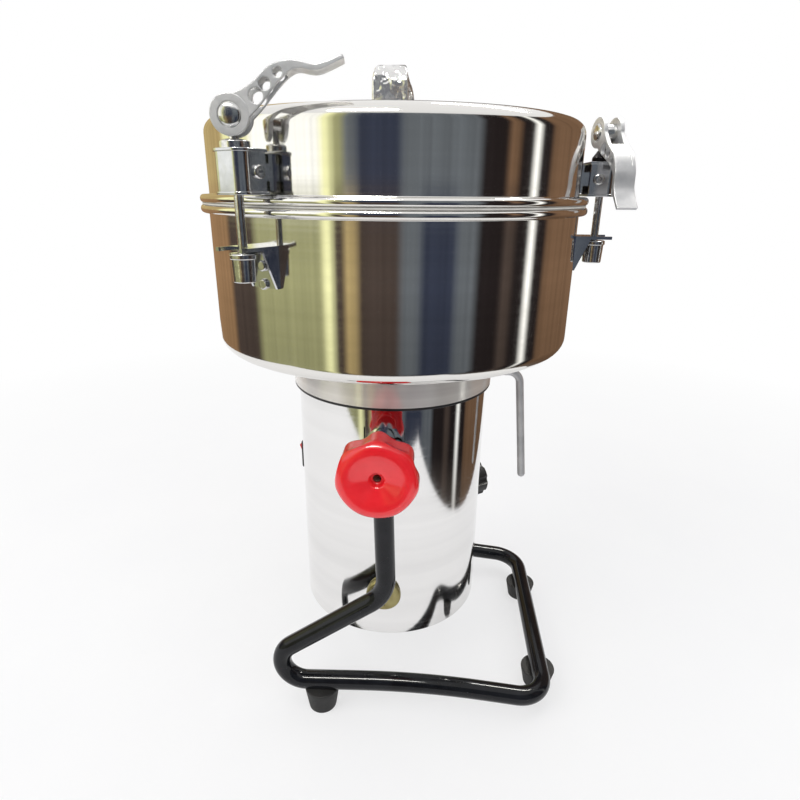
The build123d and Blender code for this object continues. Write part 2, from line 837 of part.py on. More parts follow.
def bearings():
    low = ring(bearing_low_d / 2, shaft_low_d / 2 + running_fit, bearing_w, bearing_low_z())
    high = ring(bearing_up_d / 2, shaft_top_d / 2 + running_fit, bearing_w, bearing_up_z())
    return group([low, high])


def bearing_bracket():
    z = housing_z + cover_recess + cover_t
    pocket_r = bearing_low_d / 2 + seat_gap / 2
    hub_r = pocket_r + bracket_hub_wall
    rim_r = housing_in_r - seat_gap
    body = ring(rim_r, rim_r - bracket_ring_w, bracket_h, z) + rod_at(hub_r, bracket_h, z)
    arm_l = rim_r - bracket_ring_w / 2
    arm = Pos(arm_l / 2, 0, z) * block(arm_l, bracket_arm_w, bracket_h)
    body += [Rot(0, 0, 30 + 360 * i / bracket_arms) * arm for i in range(bracket_arms)]
    body -= rod_at(pocket_r, bearing_w + overrun, bearing_low_z())
    body -= rod_at(pocket_r, 2 * bracket_h, bearing_low_z())
    body -= rod_at(pocket_r - bracket_lip, 2 * bracket_h, z - overrun)
    hole = rod_at(cover_screw_d / 2 + seat_gap, screw_l + overrun, housing_z + cover_recess)
    return body - [spot * hole for spot in cover_screw_spots()]


# Stator
def coil_ring(grow):
    high = core_h + 2 * (coil_end + coil_bar) + 2 * grow
    wide = coil_w + 2 * grow
    thick = coil_t + 2 * grow
    outer = Box(thick, wide, high)
    window = Box(thick + overrun, coil_w - 2 * coil_bar - 2 * grow, core_h + 2 * coil_end - 2 * grow)
    return Pos(coil_in + coil_t / 2, 0, core_z() + core_h / 2) * (outer - window)


def core_z():
    return housing_z + core_up


def stator_core():
    core = ring(core_r, core_bore_r, core_h, core_z())
    core -= [Rot(0, 0, turn) * coil_ring(seat_gap) for turn in (0, 180)]
    hole = rod_at(bolt_d / 2 + seat_gap, core_h + 2 * overrun, core_z() - overrun)
    return core - [spot * hole for spot in around(4, bolt_pitch_r, 45)]


def stator_coils():
    rounded = coil_ring(0)
    rounded = fillet(rounded.edges().filter_by(Axis.X), edge_round * 2)
    return group(Rot(0, 0, turn) * rounded for turn in (0, 180))


def stator_bolts():
    top = bowl_z - collar_plate_t + bolt_grip - overrun
    bolt = rod_at(bolt_d / 2, top - core_z(), core_z()) + hexagon(bolt_head_d, bolt_head_h, core_z() - bolt_head_h)
    nut = hexagon(bolt_head_d, bolt_head_h, core_z() + core_h)
    nut -= rod_at(bolt_d / 2, bolt_head_h + 2 * overrun, core_z() + core_h - overrun)
    return group([spot * (bolt + nut) for spot in around(4, bolt_pitch_r, 45)])


# Brush gear
def brush_holders():
    start = commutator_r + 2 * edge_round
    tube = ring(holder_d / 2, holder_bore_d / 2, housing_r - start)
    return group(outward(angle, start, housing_z + brush_up) * tube for angle in side_angles)


def carbon_brushes():
    start = commutator_r + move_gap
    return group(
        outward(angle, start, housing_z + brush_up) * block(brush_side, brush_side, brush_l)
        for angle in side_angles
    )


def brush_caps():
    seat = housing_r + seat_gap
    head = rod_at(cap_d / 2, cap_t)
    head = fillet(head.edges().group_by(Axis.Z)[-1], edge_round * 2)
    head -= block(cap_d * 2 / 3, cap_slot_w, cap_t, cap_t / 2)
    cap = head + rod_at(holder_bore_d / 2 - seat_gap, cap_plug_l, -cap_plug_l)
    return group(outward(angle, seat, housing_z + brush_up) * cap for angle in side_angles)


# Rotor and blades, one turning body
def blade_levels():
    low = bowl_z + bowl_boss_h + edge_round + sleeve_low_h
    high = low + blade_t + sleeve_mid_h
    return low, high


def rotor_shaft():
    low, high = blade_levels()
    foot = bearing_low_z() - overrun
    neck = bearing_low_z() + bearing_w + overrun
    shoulder = bearing_up_z() - overrun
    perch = low - sleeve_low_h
    top = high + blade_t + blade_nut_h + 2 * overrun
    return turned(
        [
            (0, foot, 0),
            (shaft_low_d / 2, foot, 0),
            (shaft_low_d / 2, neck, 0),
            (shaft_d / 2, neck, 0),
            (shaft_d / 2, shoulder, 0),
            (shaft_top_d / 2, shoulder, 0),
            (shaft_top_d / 2, perch, 0),
            (blade_bore_d / 2, perch, 0),
            (blade_bore_d / 2, top, edge_round),
            (0, top, 0),
        ]
    )


def armature_core():
    bore = shaft_d / 2 + seat_gap / 2
    outer = armature_r
    core = ring(outer, bore, core_h, core_z())
    slot = block(outer / 3, bar_groove * 3, core_h + 2 * overrun, core_z() - overrun)
    return core - [spot * slot for spot in around(commutator_bars, outer)]


def commutator():
    bore = shaft_d / 2 + seat_gap / 2
    z = housing_z + brush_up - commutator_h / 2
    drum = ring(commutator_r, bore, commutator_h, z)
    groove = block(2 * bar_groove, bar_groove, commutator_h + 2 * overrun, z - overrun)
    return drum - [spot * groove for spot in around(commutator_bars, commutator_r)]


def cooling_fan():
    z = housing_z + fan_up
    bore = shaft_d / 2 + seat_gap / 2
    fan = rod_at(fan_r, fan_disc_t, z) + rod_at(fan_hub_r, fan_h, z)
    vane_l = fan_r - fan_hub_r
    vane = block(vane_l, fan_blade_t, fan_h, z)
    fan += [spot * vane for spot in around(fan_blades, fan_hub_r + vane_l / 2 - overrun)]
    return fan - rod_at(bore, fan_h + 2 * overrun, z - overrun)


def blade(radius, z, turn):
    # Two swept arms, each narrowing to a slanted tip
    half = blade_w / 2
    tip = half * blade_tip_share
    points = [(0, -half), (radius - blade_w, -half), (radius, tip), (radius - half, half), (0, half)]
    mirrored = [(-x, -y) for x, y in points]
    outline = points[1:4] + [(sleeve_r, half)] + mirrored[1:4] + [(-sleeve_r, -half)]
    sheet = extrude(Face(Wire.make_polygon([(x, y, 0) for x, y in outline])), blade_t, dir=(0, 0, 1))
    sheet -= rod_at(blade_bore_d / 2 + seat_gap / 2, blade_t + 2 * overrun, -overrun)
    return Pos(0, 0, z) * Rot(0, 0, turn) * sheet


def blade_sleeves():
    low, high = blade_levels()
    bore = blade_bore_d / 2 + seat_gap / 2
    lower = ring(sleeve_r, bore, sleeve_low_h, low - sleeve_low_h)
    return group([lower, ring(sleeve_r, bore, sleeve_mid_h, low + blade_t)])


def blade_nut():
    low, high = blade_levels()
    z = high + blade_t
    nut = hexagon(blade_nut_d, blade_nut_h, z)
    return nut - rod_at(blade_bore_d / 2 + seat_gap / 2, blade_nut_h + 2 * overrun, z - overrun)


def shaft_seal():
    z = bearing_up_z() + bearing_w + seat_gap
    return ring(seal_r, shaft_top_d / 2 + running_fit, seal_h, z)


# Tilt axis
def pivot_bosses():
    hub_l = stand_half_w - tube_r - move_gap - housing_in_r + boss_flange_t
    start = housing_in_r - boss_flange_t - seat_gap
    flange = rod_at(boss_flange_d / 2, boss_flange_t + overrun, -overrun)
    flange = outward(0, start, pivot_z) * flange & rod_at(housing_in_r - seat_gap, housing_h, housing_z)
    hub = outward(0, start, pivot_z) * rod_at(boss_d / 2, hub_l)
    bore = outward(0, 0, pivot_z) * rod_at(stud_d / 2 + running_fit, stand_half_w)
    boss = flange + hub - bore
    return group(Rot(0, 0, angle) * boss for angle in side_angles)


def knob_start():
    return stand_half_w + tube_r + move_gap


def clamp_knob(angle):
    rim = knob_d / 2
    face = knob_hub_h + knob_h
    bore = stud_d / 2 + seat_gap
    well = stud_head_d / 2 + seat_gap
    profile = [
        (bore, 0, 0),
        (knob_hub_d / 2, 0, edge_round),
        (knob_hub_d / 2, knob_hub_h, 0),
        (rim, knob_hub_h, knob_rim_r),
        (rim, face, knob_rim_r),
        (knob_dish_d / 2, face, knob_rim_r / 2),
        (well, face - knob_dish_depth, edge_round),
        (well, face - knob_dish_depth - stud_head_h, 0),
        (bore, face - knob_dish_depth - stud_head_h, 0),
    ]
    knob = turned(profile)
    flute_l = knob_h - knob_front_rim
    flute = rod_at(knob_flute_d / 2, flute_l + overrun, knob_hub_h - overrun)
    flute = fillet(flute.edges().group_by(Axis.Z)[-1], knob_flute_in)
    knob -= [spot * flute for spot in around(knob_flutes, rim + knob_flute_d / 2 - knob_flute_in)]
    return outward(angle, knob_start(), pivot_z) * knob


def clamp_stud(angle):
    head_z = knob_hub_h + knob_h - knob_dish_depth - stud_head_h
    head = rod_at(stud_head_d / 2, stud_head_h, head_z + seat_gap)
    head -= hexagon(stud_d * 3 / 4, stud_head_h, head_z + stud_head_h / 2)
    inner_end = housing_in_r - boss_flange_t - overrun
    length = knob_start() + head_z - inner_end
    stem = rod_at(stud_d / 2, length + seat_gap + running_fit, head_z - length)
    return outward(angle, knob_start(), pivot_z) * (head + stem)


# Controls
def timer_body():
    start = housing_in_r - timer_depth - timer_gap
    z = housing_z + timer_up
    out = housing_r - start + timer_bush_out
    body = block(timer_side, timer_side, timer_depth) + rod_at(timer_bush_d / 2, out)
    nut_z = housing_r - start + seat_gap
    body += hexagon(timer_bush_d + 2 * timer_bush_out, timer_bush_out - seat_gap, nut_z)
    body += rod_at(timer_shaft_d / 2, out + timer_knob_h - timer_knob_gap)
    return outward(timer_angle, start, z) * body


def timer_knob():
    start = housing_r + timer_bush_out + move_gap
    rim = timer_knob_d / 2
    knob = turned(
        [
            (0, 0, 0),
            (rim, 0, edge_round),
            (rim, timer_knob_h, 2 * edge_round),
            (0, timer_knob_h, 0),
        ]
    )
    lobe = rod_at(timer_lobe_d / 2, timer_knob_h + 2 * overrun, -overrun)
    knob -= [spot * lobe for spot in around(timer_lobes, rim + timer_lobe_d / 4)]
    mark = Pos(-rim * 2 / 3, 0, timer_knob_h - edge_round) * block(rim / 2, edge_round, 2 * edge_round)
    knob -= mark
    knob -= rod_at(timer_shaft_d / 2 + running_fit, timer_knob_h - timer_knob_gap)
    return outward(timer_angle, start, housing_z + timer_up) * knob


def switch_body():
    start = housing_r - switch_depth
    front = switch_depth + seat_gap
    body = block(switch_body_h, switch_body_w, front)
    flange = block(switch_body_h + 2 * bezel_over, switch_body_w + 2 * bezel_over, bezel_t, front)
    body += chamfer(flange.edges().group_by(Axis.Z)[-1], edge_round)
    well = block(rocker_well_l, rocker_w + 2 * move_gap, rocker_well + bezel_t + overrun, front - rocker_well)
    pin_l = rocker_w + 2 * move_gap + 2 * edge_round
    pin = cross_rod(rocker_pin_d / 2, pin_l, rocker_axis_r() - start)
    return outward(switch_angle, start, housing_z + switch_up) * (body - well + pin)


def rocker_axis_r():
    return housing_r + seat_gap - rocker_well + rocker_under + 2 * move_gap + rocker_dip


def cross_rod(radius, length, z):
    return Pos(0, length / 2, z) * Rot(90, 0, 0) * rod_at(radius, length)


def power_rocker():
    half = rocker_l / 2
    points = [(-half, 0, -rocker_under), (half, 0, -rocker_under), (half, 0, rocker_high)]
    base = Edge.make_line(points[0], points[1])
    right = Edge.make_line(points[1], points[2])
    dish = Edge.make_three_point_arc(points[2], (0, 0, rocker_high - rocker_dip), (-half, 0, rocker_high))
    left = Edge.make_line((-half, 0, rocker_high), points[0])
    key = extrude(Face(Wire([base, right, dish, left])), rocker_w / 2, dir=(0, 1, 0), both=True)
    key = fillet(key.edges().filter_by(Axis.Y).group_by(Axis.Z)[-1], edge_round)
    key -= cross_rod(rocker_pin_d / 2 + running_fit, rocker_w + 2 * overrun, 0)
    return outward(switch_angle, rocker_axis_r(), housing_z + switch_up) * Rot(0, rocker_tilt, 0) * key


def overload_protector():
    start = housing_in_r - reset_body_l - overrun
    wall = housing_r - start
    body = rod_at(reset_body_d / 2, reset_body_l) + rod_at(reset_bush_d / 2, wall + reset_nut_t)
    body += hexagon(reset_nut_d, reset_nut_t, wall + seat_gap)
    deep = reset_travel + reset_nut_t + overrun
    body -= rod_at(reset_d / 2 + running_fit, deep + overrun, wall + reset_nut_t - deep)
    return outward(reset_angle, start, housing_z + reset_up) * body


def reset_button():
    end = housing_r + reset_nut_t
    length = reset_out + reset_nut_t + overrun - running_fit * 2
    button = rod_at(reset_d / 2, length, reset_out - length)
    button = fillet(button.edges().group_by(Axis.Z)[-1], edge_round)
    stop = reset_travel - overrun / 2
    return outward(reset_angle, end + stop - overrun / 2, housing_z + reset_up) * button


def cable_gland():
    wall = 2 * housing_wall
    nut = hexagon(gland_nut_d, gland_nut_t, seat_gap)
    dome = Pos(0, 0, gland_nut_t + seat_gap) * rod_at(gland_dome_d / 2, gland_dome_l)
    dome = fillet(dome.edges().group_by(Axis.Z)[-1], gland_dome_d / 5)
    neck = rod_at(gland_d / 2, wall + gland_tail, -wall - gland_tail)
    lock = hexagon(gland_nut_d, gland_tail, -housing_wall - gland_tail - overrun)
    gland = nut + dome + neck + lock
    gland -= rod_at(gland_bore_d / 2, 2 * gland_nut_d, -gland_nut_d)
    return outward(gland_angle, housing_r, housing_z + gland_up) * gland


def build_all():
    nodes = {
        "stand_frame": stand_frame(),
        "stand_feet": stand_feet(),
        "foot_screws": foot_screws(),
        "bowl": bowl(),
        "lid": lid(),
        "lid_gasket": lid_gasket(),
        "lid_handle": lid_handle(),
        "lid_lugs": on_each_latch(lid_lug()),
        "hinge_pins": on_each_latch(hinge_pin()),
        "keeper_brackets": on_each_latch(keeper_bracket()),
        "keeper_rivets": keeper_rivets(),
        "motor_housing": motor_housing(),
        "motor_collar": motor_collar(),
        "tilt_handle": tilt_handle(),
        "bottom_cover": bottom_cover(),
        "case_screws": case_screws(),
        "bearings": bearings(),
        "bearing_bracket": bearing_bracket(),
        "stator_core": stator_core(),
        "stator_coils": stator_coils(),
        "stator_bolts": stator_bolts(),
        "brush_holders": brush_holders(),
        "carbon_brushes": carbon_brushes(),
        "brush_caps": brush_caps(),
        "shaft_seal": shaft_seal(),
        "pivot_bosses": pivot_bosses(),
        "rotor_shaft": rotor_shaft(),
        "armature_core": armature_core(),
        "commutator": commutator(),
        "cooling_fan": cooling_fan(),
        "lower_blade": blade(blade_low_r, blade_levels()[0], blade_turns[0]),
        "upper_blade": blade(blade_up_r, blade_levels()[1], blade_turns[1]),
        "blade_sleeves": blade_sleeves(),
        "blade_nut": blade_nut(),
        "timer_body": timer_body(),
        "timer_knob": timer_knob(),
        "switch_body": switch_body(),
        "power_rocker": power_rocker(),
        "overload_protector": overload_protector(),
        "reset_button": reset_button(),
        "cable_gland": cable_gland(),
    }
    for name, angle in zip(("near", "far"), side_angles):
        nodes[name + "_knob"] = clamp_knob(angle)
        nodes[name + "_stud"] = clamp_stud(angle)
    for k, name in enumerate(("right", "back", "left")):
        turn = Rot(0, 0, latch_angles[k])
        local = lever_headings[k] - latch_angles[k]
        nodes[name + "_yoke"] = turn * latch_yoke()
        nodes[name + "_cam_seat"] = turn * latch_seat(seat_heights[k], seat_rim_shares[k])
        nodes[name + "_rod"] = turn * latch_rod(local, barrel_heights[k])
        nodes[name + "_nut"] = turn * latch_nut()
        nodes[name + "_lever"] = turn * latch_lever(local, lever_drops[k], barrel_heights[k])
    return nodes


# The origin is under the middle of the whole object, on the floor
nodes = build_all()
boxes = [shape.bounding_box() for shape in nodes.values()]
axis_x = -(min(b.min.X for b in boxes) + max(b.max.X for b in boxes)) / 2
axis_y = -(min(b.min.Y for b in boxes) + max(b.max.Y for b in boxes)) / 2
print(f"motor axis at x {axis_x:.3f}, y {axis_y:.3f}")
for name, shape in nodes.items():
    export_step(Pos(axis_x, axis_y, 0) * shape, f"parts/{name}.step")
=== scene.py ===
import math
import bmesh
import bpy
from mathutils import Matrix, Vector


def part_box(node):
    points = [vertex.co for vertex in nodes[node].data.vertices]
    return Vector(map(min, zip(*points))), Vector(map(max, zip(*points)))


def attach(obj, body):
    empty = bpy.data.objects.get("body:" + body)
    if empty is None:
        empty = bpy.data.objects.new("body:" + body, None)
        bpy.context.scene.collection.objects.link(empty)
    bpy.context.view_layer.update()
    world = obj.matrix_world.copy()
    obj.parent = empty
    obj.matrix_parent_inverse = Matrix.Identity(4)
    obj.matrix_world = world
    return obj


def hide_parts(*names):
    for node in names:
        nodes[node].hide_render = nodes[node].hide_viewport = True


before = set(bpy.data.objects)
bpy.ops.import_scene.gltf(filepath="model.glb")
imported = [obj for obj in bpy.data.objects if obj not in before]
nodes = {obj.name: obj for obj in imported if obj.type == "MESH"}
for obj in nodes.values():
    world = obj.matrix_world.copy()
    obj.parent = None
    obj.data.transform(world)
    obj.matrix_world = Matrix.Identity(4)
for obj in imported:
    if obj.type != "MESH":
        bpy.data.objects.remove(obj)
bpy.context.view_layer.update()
scene = bpy.context.scene
shaftLow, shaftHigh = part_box("rotor_shaft")
axisX = (shaftLow.x + shaftHigh.x) / 2  # the motor axis, which every turned piece shares
axisY = (shaftLow.y + shaftHigh.y) / 2
mm = 0.001
print("frame loaded,", len(nodes), "nodes, motor axis at", round(axisX, 4), round(axisY, 4))


def tone(red, green, blue):  # a screen colour, 0 to 255, as a shader wants it
    def linear(value):
        value = value / 255
        return value / 12.92 if value <= 0.04045 else ((value + 0.055) / 1.055) ** 2.4
    return (linear(red), linear(green), linear(blue), 1.0)


# camera, at the place from which the grinder was seen
cameraSet = {
    "lens": 25.38,
    "right": 0.0316,
    "back": 0.4196,
    "height": 0.379,
    "turn": 4.3,
    "down": 20.37,
    "roll": 0.009,
    "shiftX": 0.00925,
    "clip": 0.01,
}


def makeCamera(look):
    data = bpy.data.cameras.new("viewCamera")
    data.lens = look["lens"]
    data.shift_x = look["shiftX"]
    data.clip_start = look["clip"]
    camera = bpy.data.objects.new("viewCamera", data)
    scene.collection.objects.link(camera)
    aim = Matrix.Rotation(math.radians(look["turn"]), 4, "Z")
    aim = aim @ Matrix.Rotation(math.radians(90 - look["down"]), 4, "X")
    aim = aim @ Matrix.Rotation(look["roll"], 4, "Z")
    place = Vector((axisX + look["right"], axisY - look["back"], look["height"]))
    camera.matrix_world = Matrix.Translation(place) @ aim
    scene.camera = camera


makeCamera(cameraSet)
scene.view_settings.view_transform = "Standard"
print("camera set")


# node helpers
noiseSpan = (0.3, 0.7)  # the part of a noise that is spread over a range
rampStops = (0.32, 0.68)
grainDetail = 2.0
plainDepth = 0.0004


def put(tree, kind, inputs=None, **settings):
    node = tree.nodes.new(kind)
    for key, value in settings.items():
        setattr(node, key, value)
    for key, value in (inputs or {}).items():
        node.inputs[key].default_value = value
    return node


def newFinish(name):
    finish = bpy.data.materials.new(name)
    finish.use_nodes = True
    return finish, finish.node_tree, finish.node_tree.nodes["Principled BSDF"]


def axisVector(tree):  # (distance from the motor axis, 0, height): rings round the grinder
    place = put(tree, "ShaderNodeTexCoord").outputs["Object"]
    shift = put(tree, "ShaderNodeVectorMath", operation="SUBTRACT")
    shift.inputs[1].default_value = (axisX, axisY, 0)
    tree.links.new(place, shift.inputs[0])
    split = put(tree, "ShaderNodeSeparateXYZ")
    tree.links.new(shift.outputs[0], split.inputs[0])
    flat = put(tree, "ShaderNodeCombineXYZ")
    tree.links.new(split.outputs["X"], flat.inputs["X"])
    tree.links.new(split.outputs["Y"], flat.inputs["Y"])
    span = put(tree, "ShaderNodeVectorMath", operation="LENGTH")
    tree.links.new(flat.outputs[0], span.inputs[0])
    rings = put(tree, "ShaderNodeCombineXYZ")
    tree.links.new(span.outputs["Value"], rings.inputs["X"])
    tree.links.new(split.outputs["Z"], rings.inputs["Z"])
    return rings.outputs[0]


def stretched(tree, stretch):  # object coordinates, scaled along each axis
    place = put(tree, "ShaderNodeTexCoord").outputs["Object"]
    mapping = put(tree, "ShaderNodeMapping", {"Scale": stretch})
    tree.links.new(place, mapping.inputs["Vector"])
    return mapping.outputs["Vector"]


def noise(tree, vector, scale, detail=3.0):
    node = put(tree, "ShaderNodeTexNoise", {"Scale": scale, "Detail": detail})
    tree.links.new(vector, node.inputs["Vector"])
    return node.outputs["Fac"]


def ranged(tree, value, low, high):  # noise spread over low to high
    node = put(tree, "ShaderNodeMapRange", {
        "From Min": noiseSpan[0], "From Max": noiseSpan[1], "To Min": low, "To Max": high})
    tree.links.new(value, node.inputs["Value"])
    return node.outputs["Result"]


def mixed(tree, value, toneA, toneB):
    node = put(tree, "ShaderNodeValToRGB")
    for stop, place, colour in zip(node.color_ramp.elements, rampStops, (toneA, toneB)):
        stop.position = place
        stop.color = colour
    tree.links.new(value, node.inputs["Fac"])
    return node.outputs["Color"]


def seenRays(tree):  # 1 for a ray from the eye, off polished metal or through glass
    path = put(tree, "ShaderNodeLightPath")
    seen = path.outputs["Is Camera Ray"]
    for kind in ("Is Glossy Ray", "Is Transmission Ray"):
        either = put(tree, "ShaderNodeMath", operation="MAXIMUM")
        tree.links.new(seen, either.inputs[0])
        tree.links.new(path.outputs[kind], either.inputs[1])
        seen = either.outputs[0]
    return seen


def glowing(tree, colour):  # a plain glow as the whole finish, and the socket for its strength
    glow = put(tree, "ShaderNodeEmission")
    tree.links.new(colour, glow.inputs["Color"])
    tree.links.new(glow.outputs[0], tree.nodes["Material Output"].inputs["Surface"])
    return glow.inputs["Strength"]


def makeFinish(name, look):
    finish, tree, shader = newFinish(name)
    vector = axisVector(tree) if look.get("spun") else stretched(tree, look.get("stretch", (1, 1, 1)))
    blotch = noise(tree, vector, look["scale"])
    grain = noise(tree, vector, look["grain"], grainDetail)
    tree.links.new(mixed(tree, blotch, *look["tones"]), shader.inputs["Base Color"])
    tree.links.new(ranged(tree, grain, *look["rough"]), shader.inputs["Roughness"])
    shader.inputs["Metallic"].default_value = look.get("metal", 0.0)
    for socket, value in look.get("sockets", {}).items():
        shader.inputs[socket].default_value = value
    if look.get("turning"):
        way = put(tree, "ShaderNodeTangent", direction_type="RADIAL", axis="Z")
        tree.links.new(way.outputs[0], shader.inputs["Tangent"])
    bump = put(tree, "ShaderNodeBump", {"Strength": look["bump"], "Distance": look.get("depth", plainDepth)})
    tree.links.new(grain, bump.inputs["Height"])
    tree.links.new(bump.outputs[0], shader.inputs["Normal"])
    return finish


finishLooks = {
    "spunSteel": {
        "tones": (tone(222, 220, 216), tone(236, 234, 231)), "metal": 1.0, "rough": (0.07, 0.12), "scale": 60,
        "grain": 500, "bump": 0.008, "spun": True, "turning": True,
        "sockets": {"Anisotropic": 0.6, "Anisotropic Rotation": 0.25},
    },
    "mirrorShell": {
        "tones": (tone(226, 225, 224), tone(238, 237, 236)), "metal": 1.0, "rough": (0.05, 0.1), "scale": 40,
        "grain": 500, "bump": 0.01, "spun": True, "turning": True,
        "sockets": {"Anisotropic": 0.6, "Anisotropic Rotation": 0.25},
    },
    "turnedCollar": {
        "tones": (tone(224, 221, 216), tone(238, 235, 230)), "metal": 0.5, "rough": (0.16, 0.26),
        "scale": 220, "grain": 900, "bump": 0.02, "spun": True, "turning": True,
        "sockets": {"Anisotropic": 0.6, "Anisotropic Rotation": 0.25},
    },
    "strapSteel": {
        "tones": (tone(214, 213, 212), tone(232, 231, 230)), "metal": 0.8, "rough": (0.08, 0.16), "scale": 90,
        "grain": 110, "bump": 0.9, "depth": 0.004,
    },
    "latchNickel": {
        "tones": (tone(190, 192, 196), tone(216, 217, 219)), "metal": 1.0, "rough": (0.12, 0.2), "scale": 60,
        "grain": 260, "bump": 0.02,
    },
    "satinZinc": {
        "tones": (tone(188, 189, 191), tone(210, 210, 211)), "metal": 0.6, "rough": (0.42, 0.55), "scale": 90,
        "grain": 900, "bump": 0.04,
    },
    "brightPin": {
        "tones": (tone(196, 196, 196), tone(226, 225, 223)), "metal": 1.0, "rough": (0.1, 0.24), "scale": 300,
        "grain": 2200, "bump": 0.08,
    },
    # dark steel for the right cam seat only: painted shade, as the other cam seats take the bright pin finish
    "seatPaintedShade": {
        "tones": (tone(38, 36, 38), tone(62, 60, 62)), "metal": 1.0, "rough": (0.2, 0.36), "scale": 200,
        "grain": 1600, "bump": 0.1,
    },
    # steel for the clamp studs: its darkness is painted shade and its red-brown tint a painted reflection of
    # the red knob; the metal also reflects the knob for real
    "studShadeAndRedReflection": {
        "tones": (tone(84, 52, 46), tone(112, 72, 64)), "metal": 1.0, "rough": (0.2, 0.34), "scale": 200,
        "grain": 1600, "bump": 0.1,
    },
    "standEnamel": {
        "tones": (tone(17, 18, 21), tone(27, 28, 32)), "rough": (0.1, 0.18), "scale": 90, "grain": 420,
        "bump": 0.06, "depth": 0.0006, "sockets": {
            "Specular IOR Level": 0.08, "Coat Weight": 0.4, "Coat Roughness": 0.04},
    },
    "redMoulding": {
        "tones": (tone(226, 22, 34), tone(240, 34, 44)), "rough": (0.16, 0.26), "scale": 70, "grain": 800,
        "bump": 0.03, "sockets": {
            "Subsurface Weight": 0.06, "Subsurface Scale": 0.004, "Coat Weight": 0.6, "Coat Roughness": 0.06},
    },
    "blackMoulding": {
        "tones": (tone(22, 22, 24), tone(34, 34, 36)), "rough": (0.34, 0.5), "scale": 120, "grain": 1600,
        "bump": 0.12,
    },
    "footRubber": {
        "tones": (tone(20, 20, 21), tone(36, 35, 35)), "rough": (0.55, 0.75), "scale": 90, "grain": 1300,
        "bump": 0.2,
    },
    "paleSeal": {
        "tones": (tone(196, 194, 188), tone(214, 212, 206)), "rough": (0.5, 0.65), "scale": 90, "grain": 900,
        "bump": 0.1,
    },
    "castAluminium": {
        "tones": (tone(160, 160, 162), tone(188, 188, 189)), "metal": 1.0, "rough": (0.4, 0.6), "scale": 90,
        "grain": 900, "bump": 0.3,
    },
    "coreIron": {
        "tones": (tone(92, 90, 92), tone(120, 118, 118)), "metal": 1.0, "rough": (0.4, 0.6), "scale": 60,
        "grain": 1100, "bump": 0.3, "stretch": (0.05, 0.05, 1),
    },
    "copperWire": {
        "tones": (tone(168, 88, 50), tone(206, 122, 78)), "metal": 1.0, "rough": (0.25, 0.42), "scale": 300,
        "grain": 700, "bump": 0.5, "stretch": (1, 1, 0.05),
    },
    "turnedBrass": {
        "tones": (tone(150, 128, 62), tone(184, 160, 92)), "metal": 1.0, "rough": (0.24, 0.4), "scale": 200,
        "grain": 1800, "bump": 0.1,
    },
    "dullCap": {
        "tones": (tone(140, 130, 84), tone(170, 160, 112)), "metal": 0.7, "rough": (0.3, 0.45), "scale": 160,
        "grain": 1200, "bump": 0.06,
    },
    "pressedCarbon": {
        "tones": (tone(34, 33, 33), tone(52, 51, 50)), "rough": (0.5, 0.7), "scale": 200, "grain": 1500,
        "bump": 0.3,
    },
    "groundBlade": {
        "tones": (tone(186, 187, 189), tone(214, 215, 216)), "metal": 1.0, "rough": (0.16, 0.34),
        "scale": 150, "grain": 1500, "bump": 0.12, "stretch": (0.1, 1, 1),
    },
}
finishes = {name: makeFinish(name, look) for name, look in finishLooks.items()}
print("finishes made,", len(finishes))

finishOfNode = {
    "spunSteel": ["bowl", "lid"],
    "mirrorShell": ["motor_housing", "bottom_cover", "pivot_bosses"],
    "turnedCollar": ["motor_collar"],
    "strapSteel": ["lid_handle"],
    "latchNickel": ["lid_lugs", "keeper_brackets", "right_yoke", "back_yoke", "left_yoke"],
    "satinZinc": ["right_lever", "back_lever", "left_lever", "tilt_handle"],
    "brightPin": [
        "hinge_pins", "keeper_rivets", "right_rod", "back_rod", "left_rod", "right_nut", "back_nut",
        "left_nut", "back_cam_seat", "left_cam_seat", "foot_screws", "case_screws", "stator_bolts",
        "bearings", "rotor_shaft", "blade_sleeves", "blade_nut",
    ],
    # painted shade on the right cam seat
    "seatPaintedShade": ["right_cam_seat"],
    # painted shade and a painted red reflection on the studs
    "studShadeAndRedReflection": ["near_stud", "far_stud"],
    "standEnamel": ["stand_frame"],
    "redMoulding": ["near_knob", "far_knob", "power_rocker", "reset_button"],
    "blackMoulding": [
        "timer_body", "timer_knob", "switch_body", "overload_protector", "cable_gland", "cooling_fan",
    ],
    "footRubber": ["stand_feet", "shaft_seal"],
    "paleSeal": ["lid_gasket"],
    "castAluminium": ["bearing_bracket"],
    "coreIron": ["stator_core", "armature_core"],
    "copperWire": ["stator_coils", "commutator"],
    "turnedBrass": ["brush_holders"],
    "dullCap": ["brush_caps"],
    "pressedCarbon": ["carbon_brushes"],
    "groundBlade": ["lower_blade", "upper_blade"],
}
for finishName, members in finishOfNode.items():
    for member in members:
        mesh = nodes[member].data
        mesh.materials.clear()
        mesh.materials.append(finishes[finishName])
dressed = {member for members in finishOfNode.values() for member in members}
print("nodes without a finish:", sorted(set(nodes) - dressed))


# shapes: everything below is built in millimetres from the motor axis, then set into the frame
toFrame = Matrix.Translation((axisX, axisY, 0)) @ Matrix.Scale(mm, 4)
weldGap = 1e-4  # points nearer than this are one
axisGap = 0.05  # how near a turned outline comes to its own axis
slabEdgeSteps = 2


def span(node):  # a node's corners in millimetres from the motor axis
    low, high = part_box(node)
    centre = Vector((axisX, axisY, 0))
    return (low - centre) / mm, (high - centre) / mm


def roundCorner(before, corner, after, radius, steps):
    if radius == 0:
        return [corner]
    back = (before - corner).normalized()
    ahead = (after - corner).normalized()
    half = back.angle(ahead) / 2
    centre = corner + (back + ahead).normalized() * radius / math.sin(half)
    start = corner + back * radius / math.tan(half) - centre
    end = corner + ahead * radius / math.tan(half) - centre
    turn = math.pi - 2 * half
    arc = []
    for step in range(steps + 1):
        left = math.sin((1 - step / steps) * turn)
        right = math.sin(step / steps * turn)
        arc.append(centre + (start * left + end * right) / math.sin(turn))
    return arc


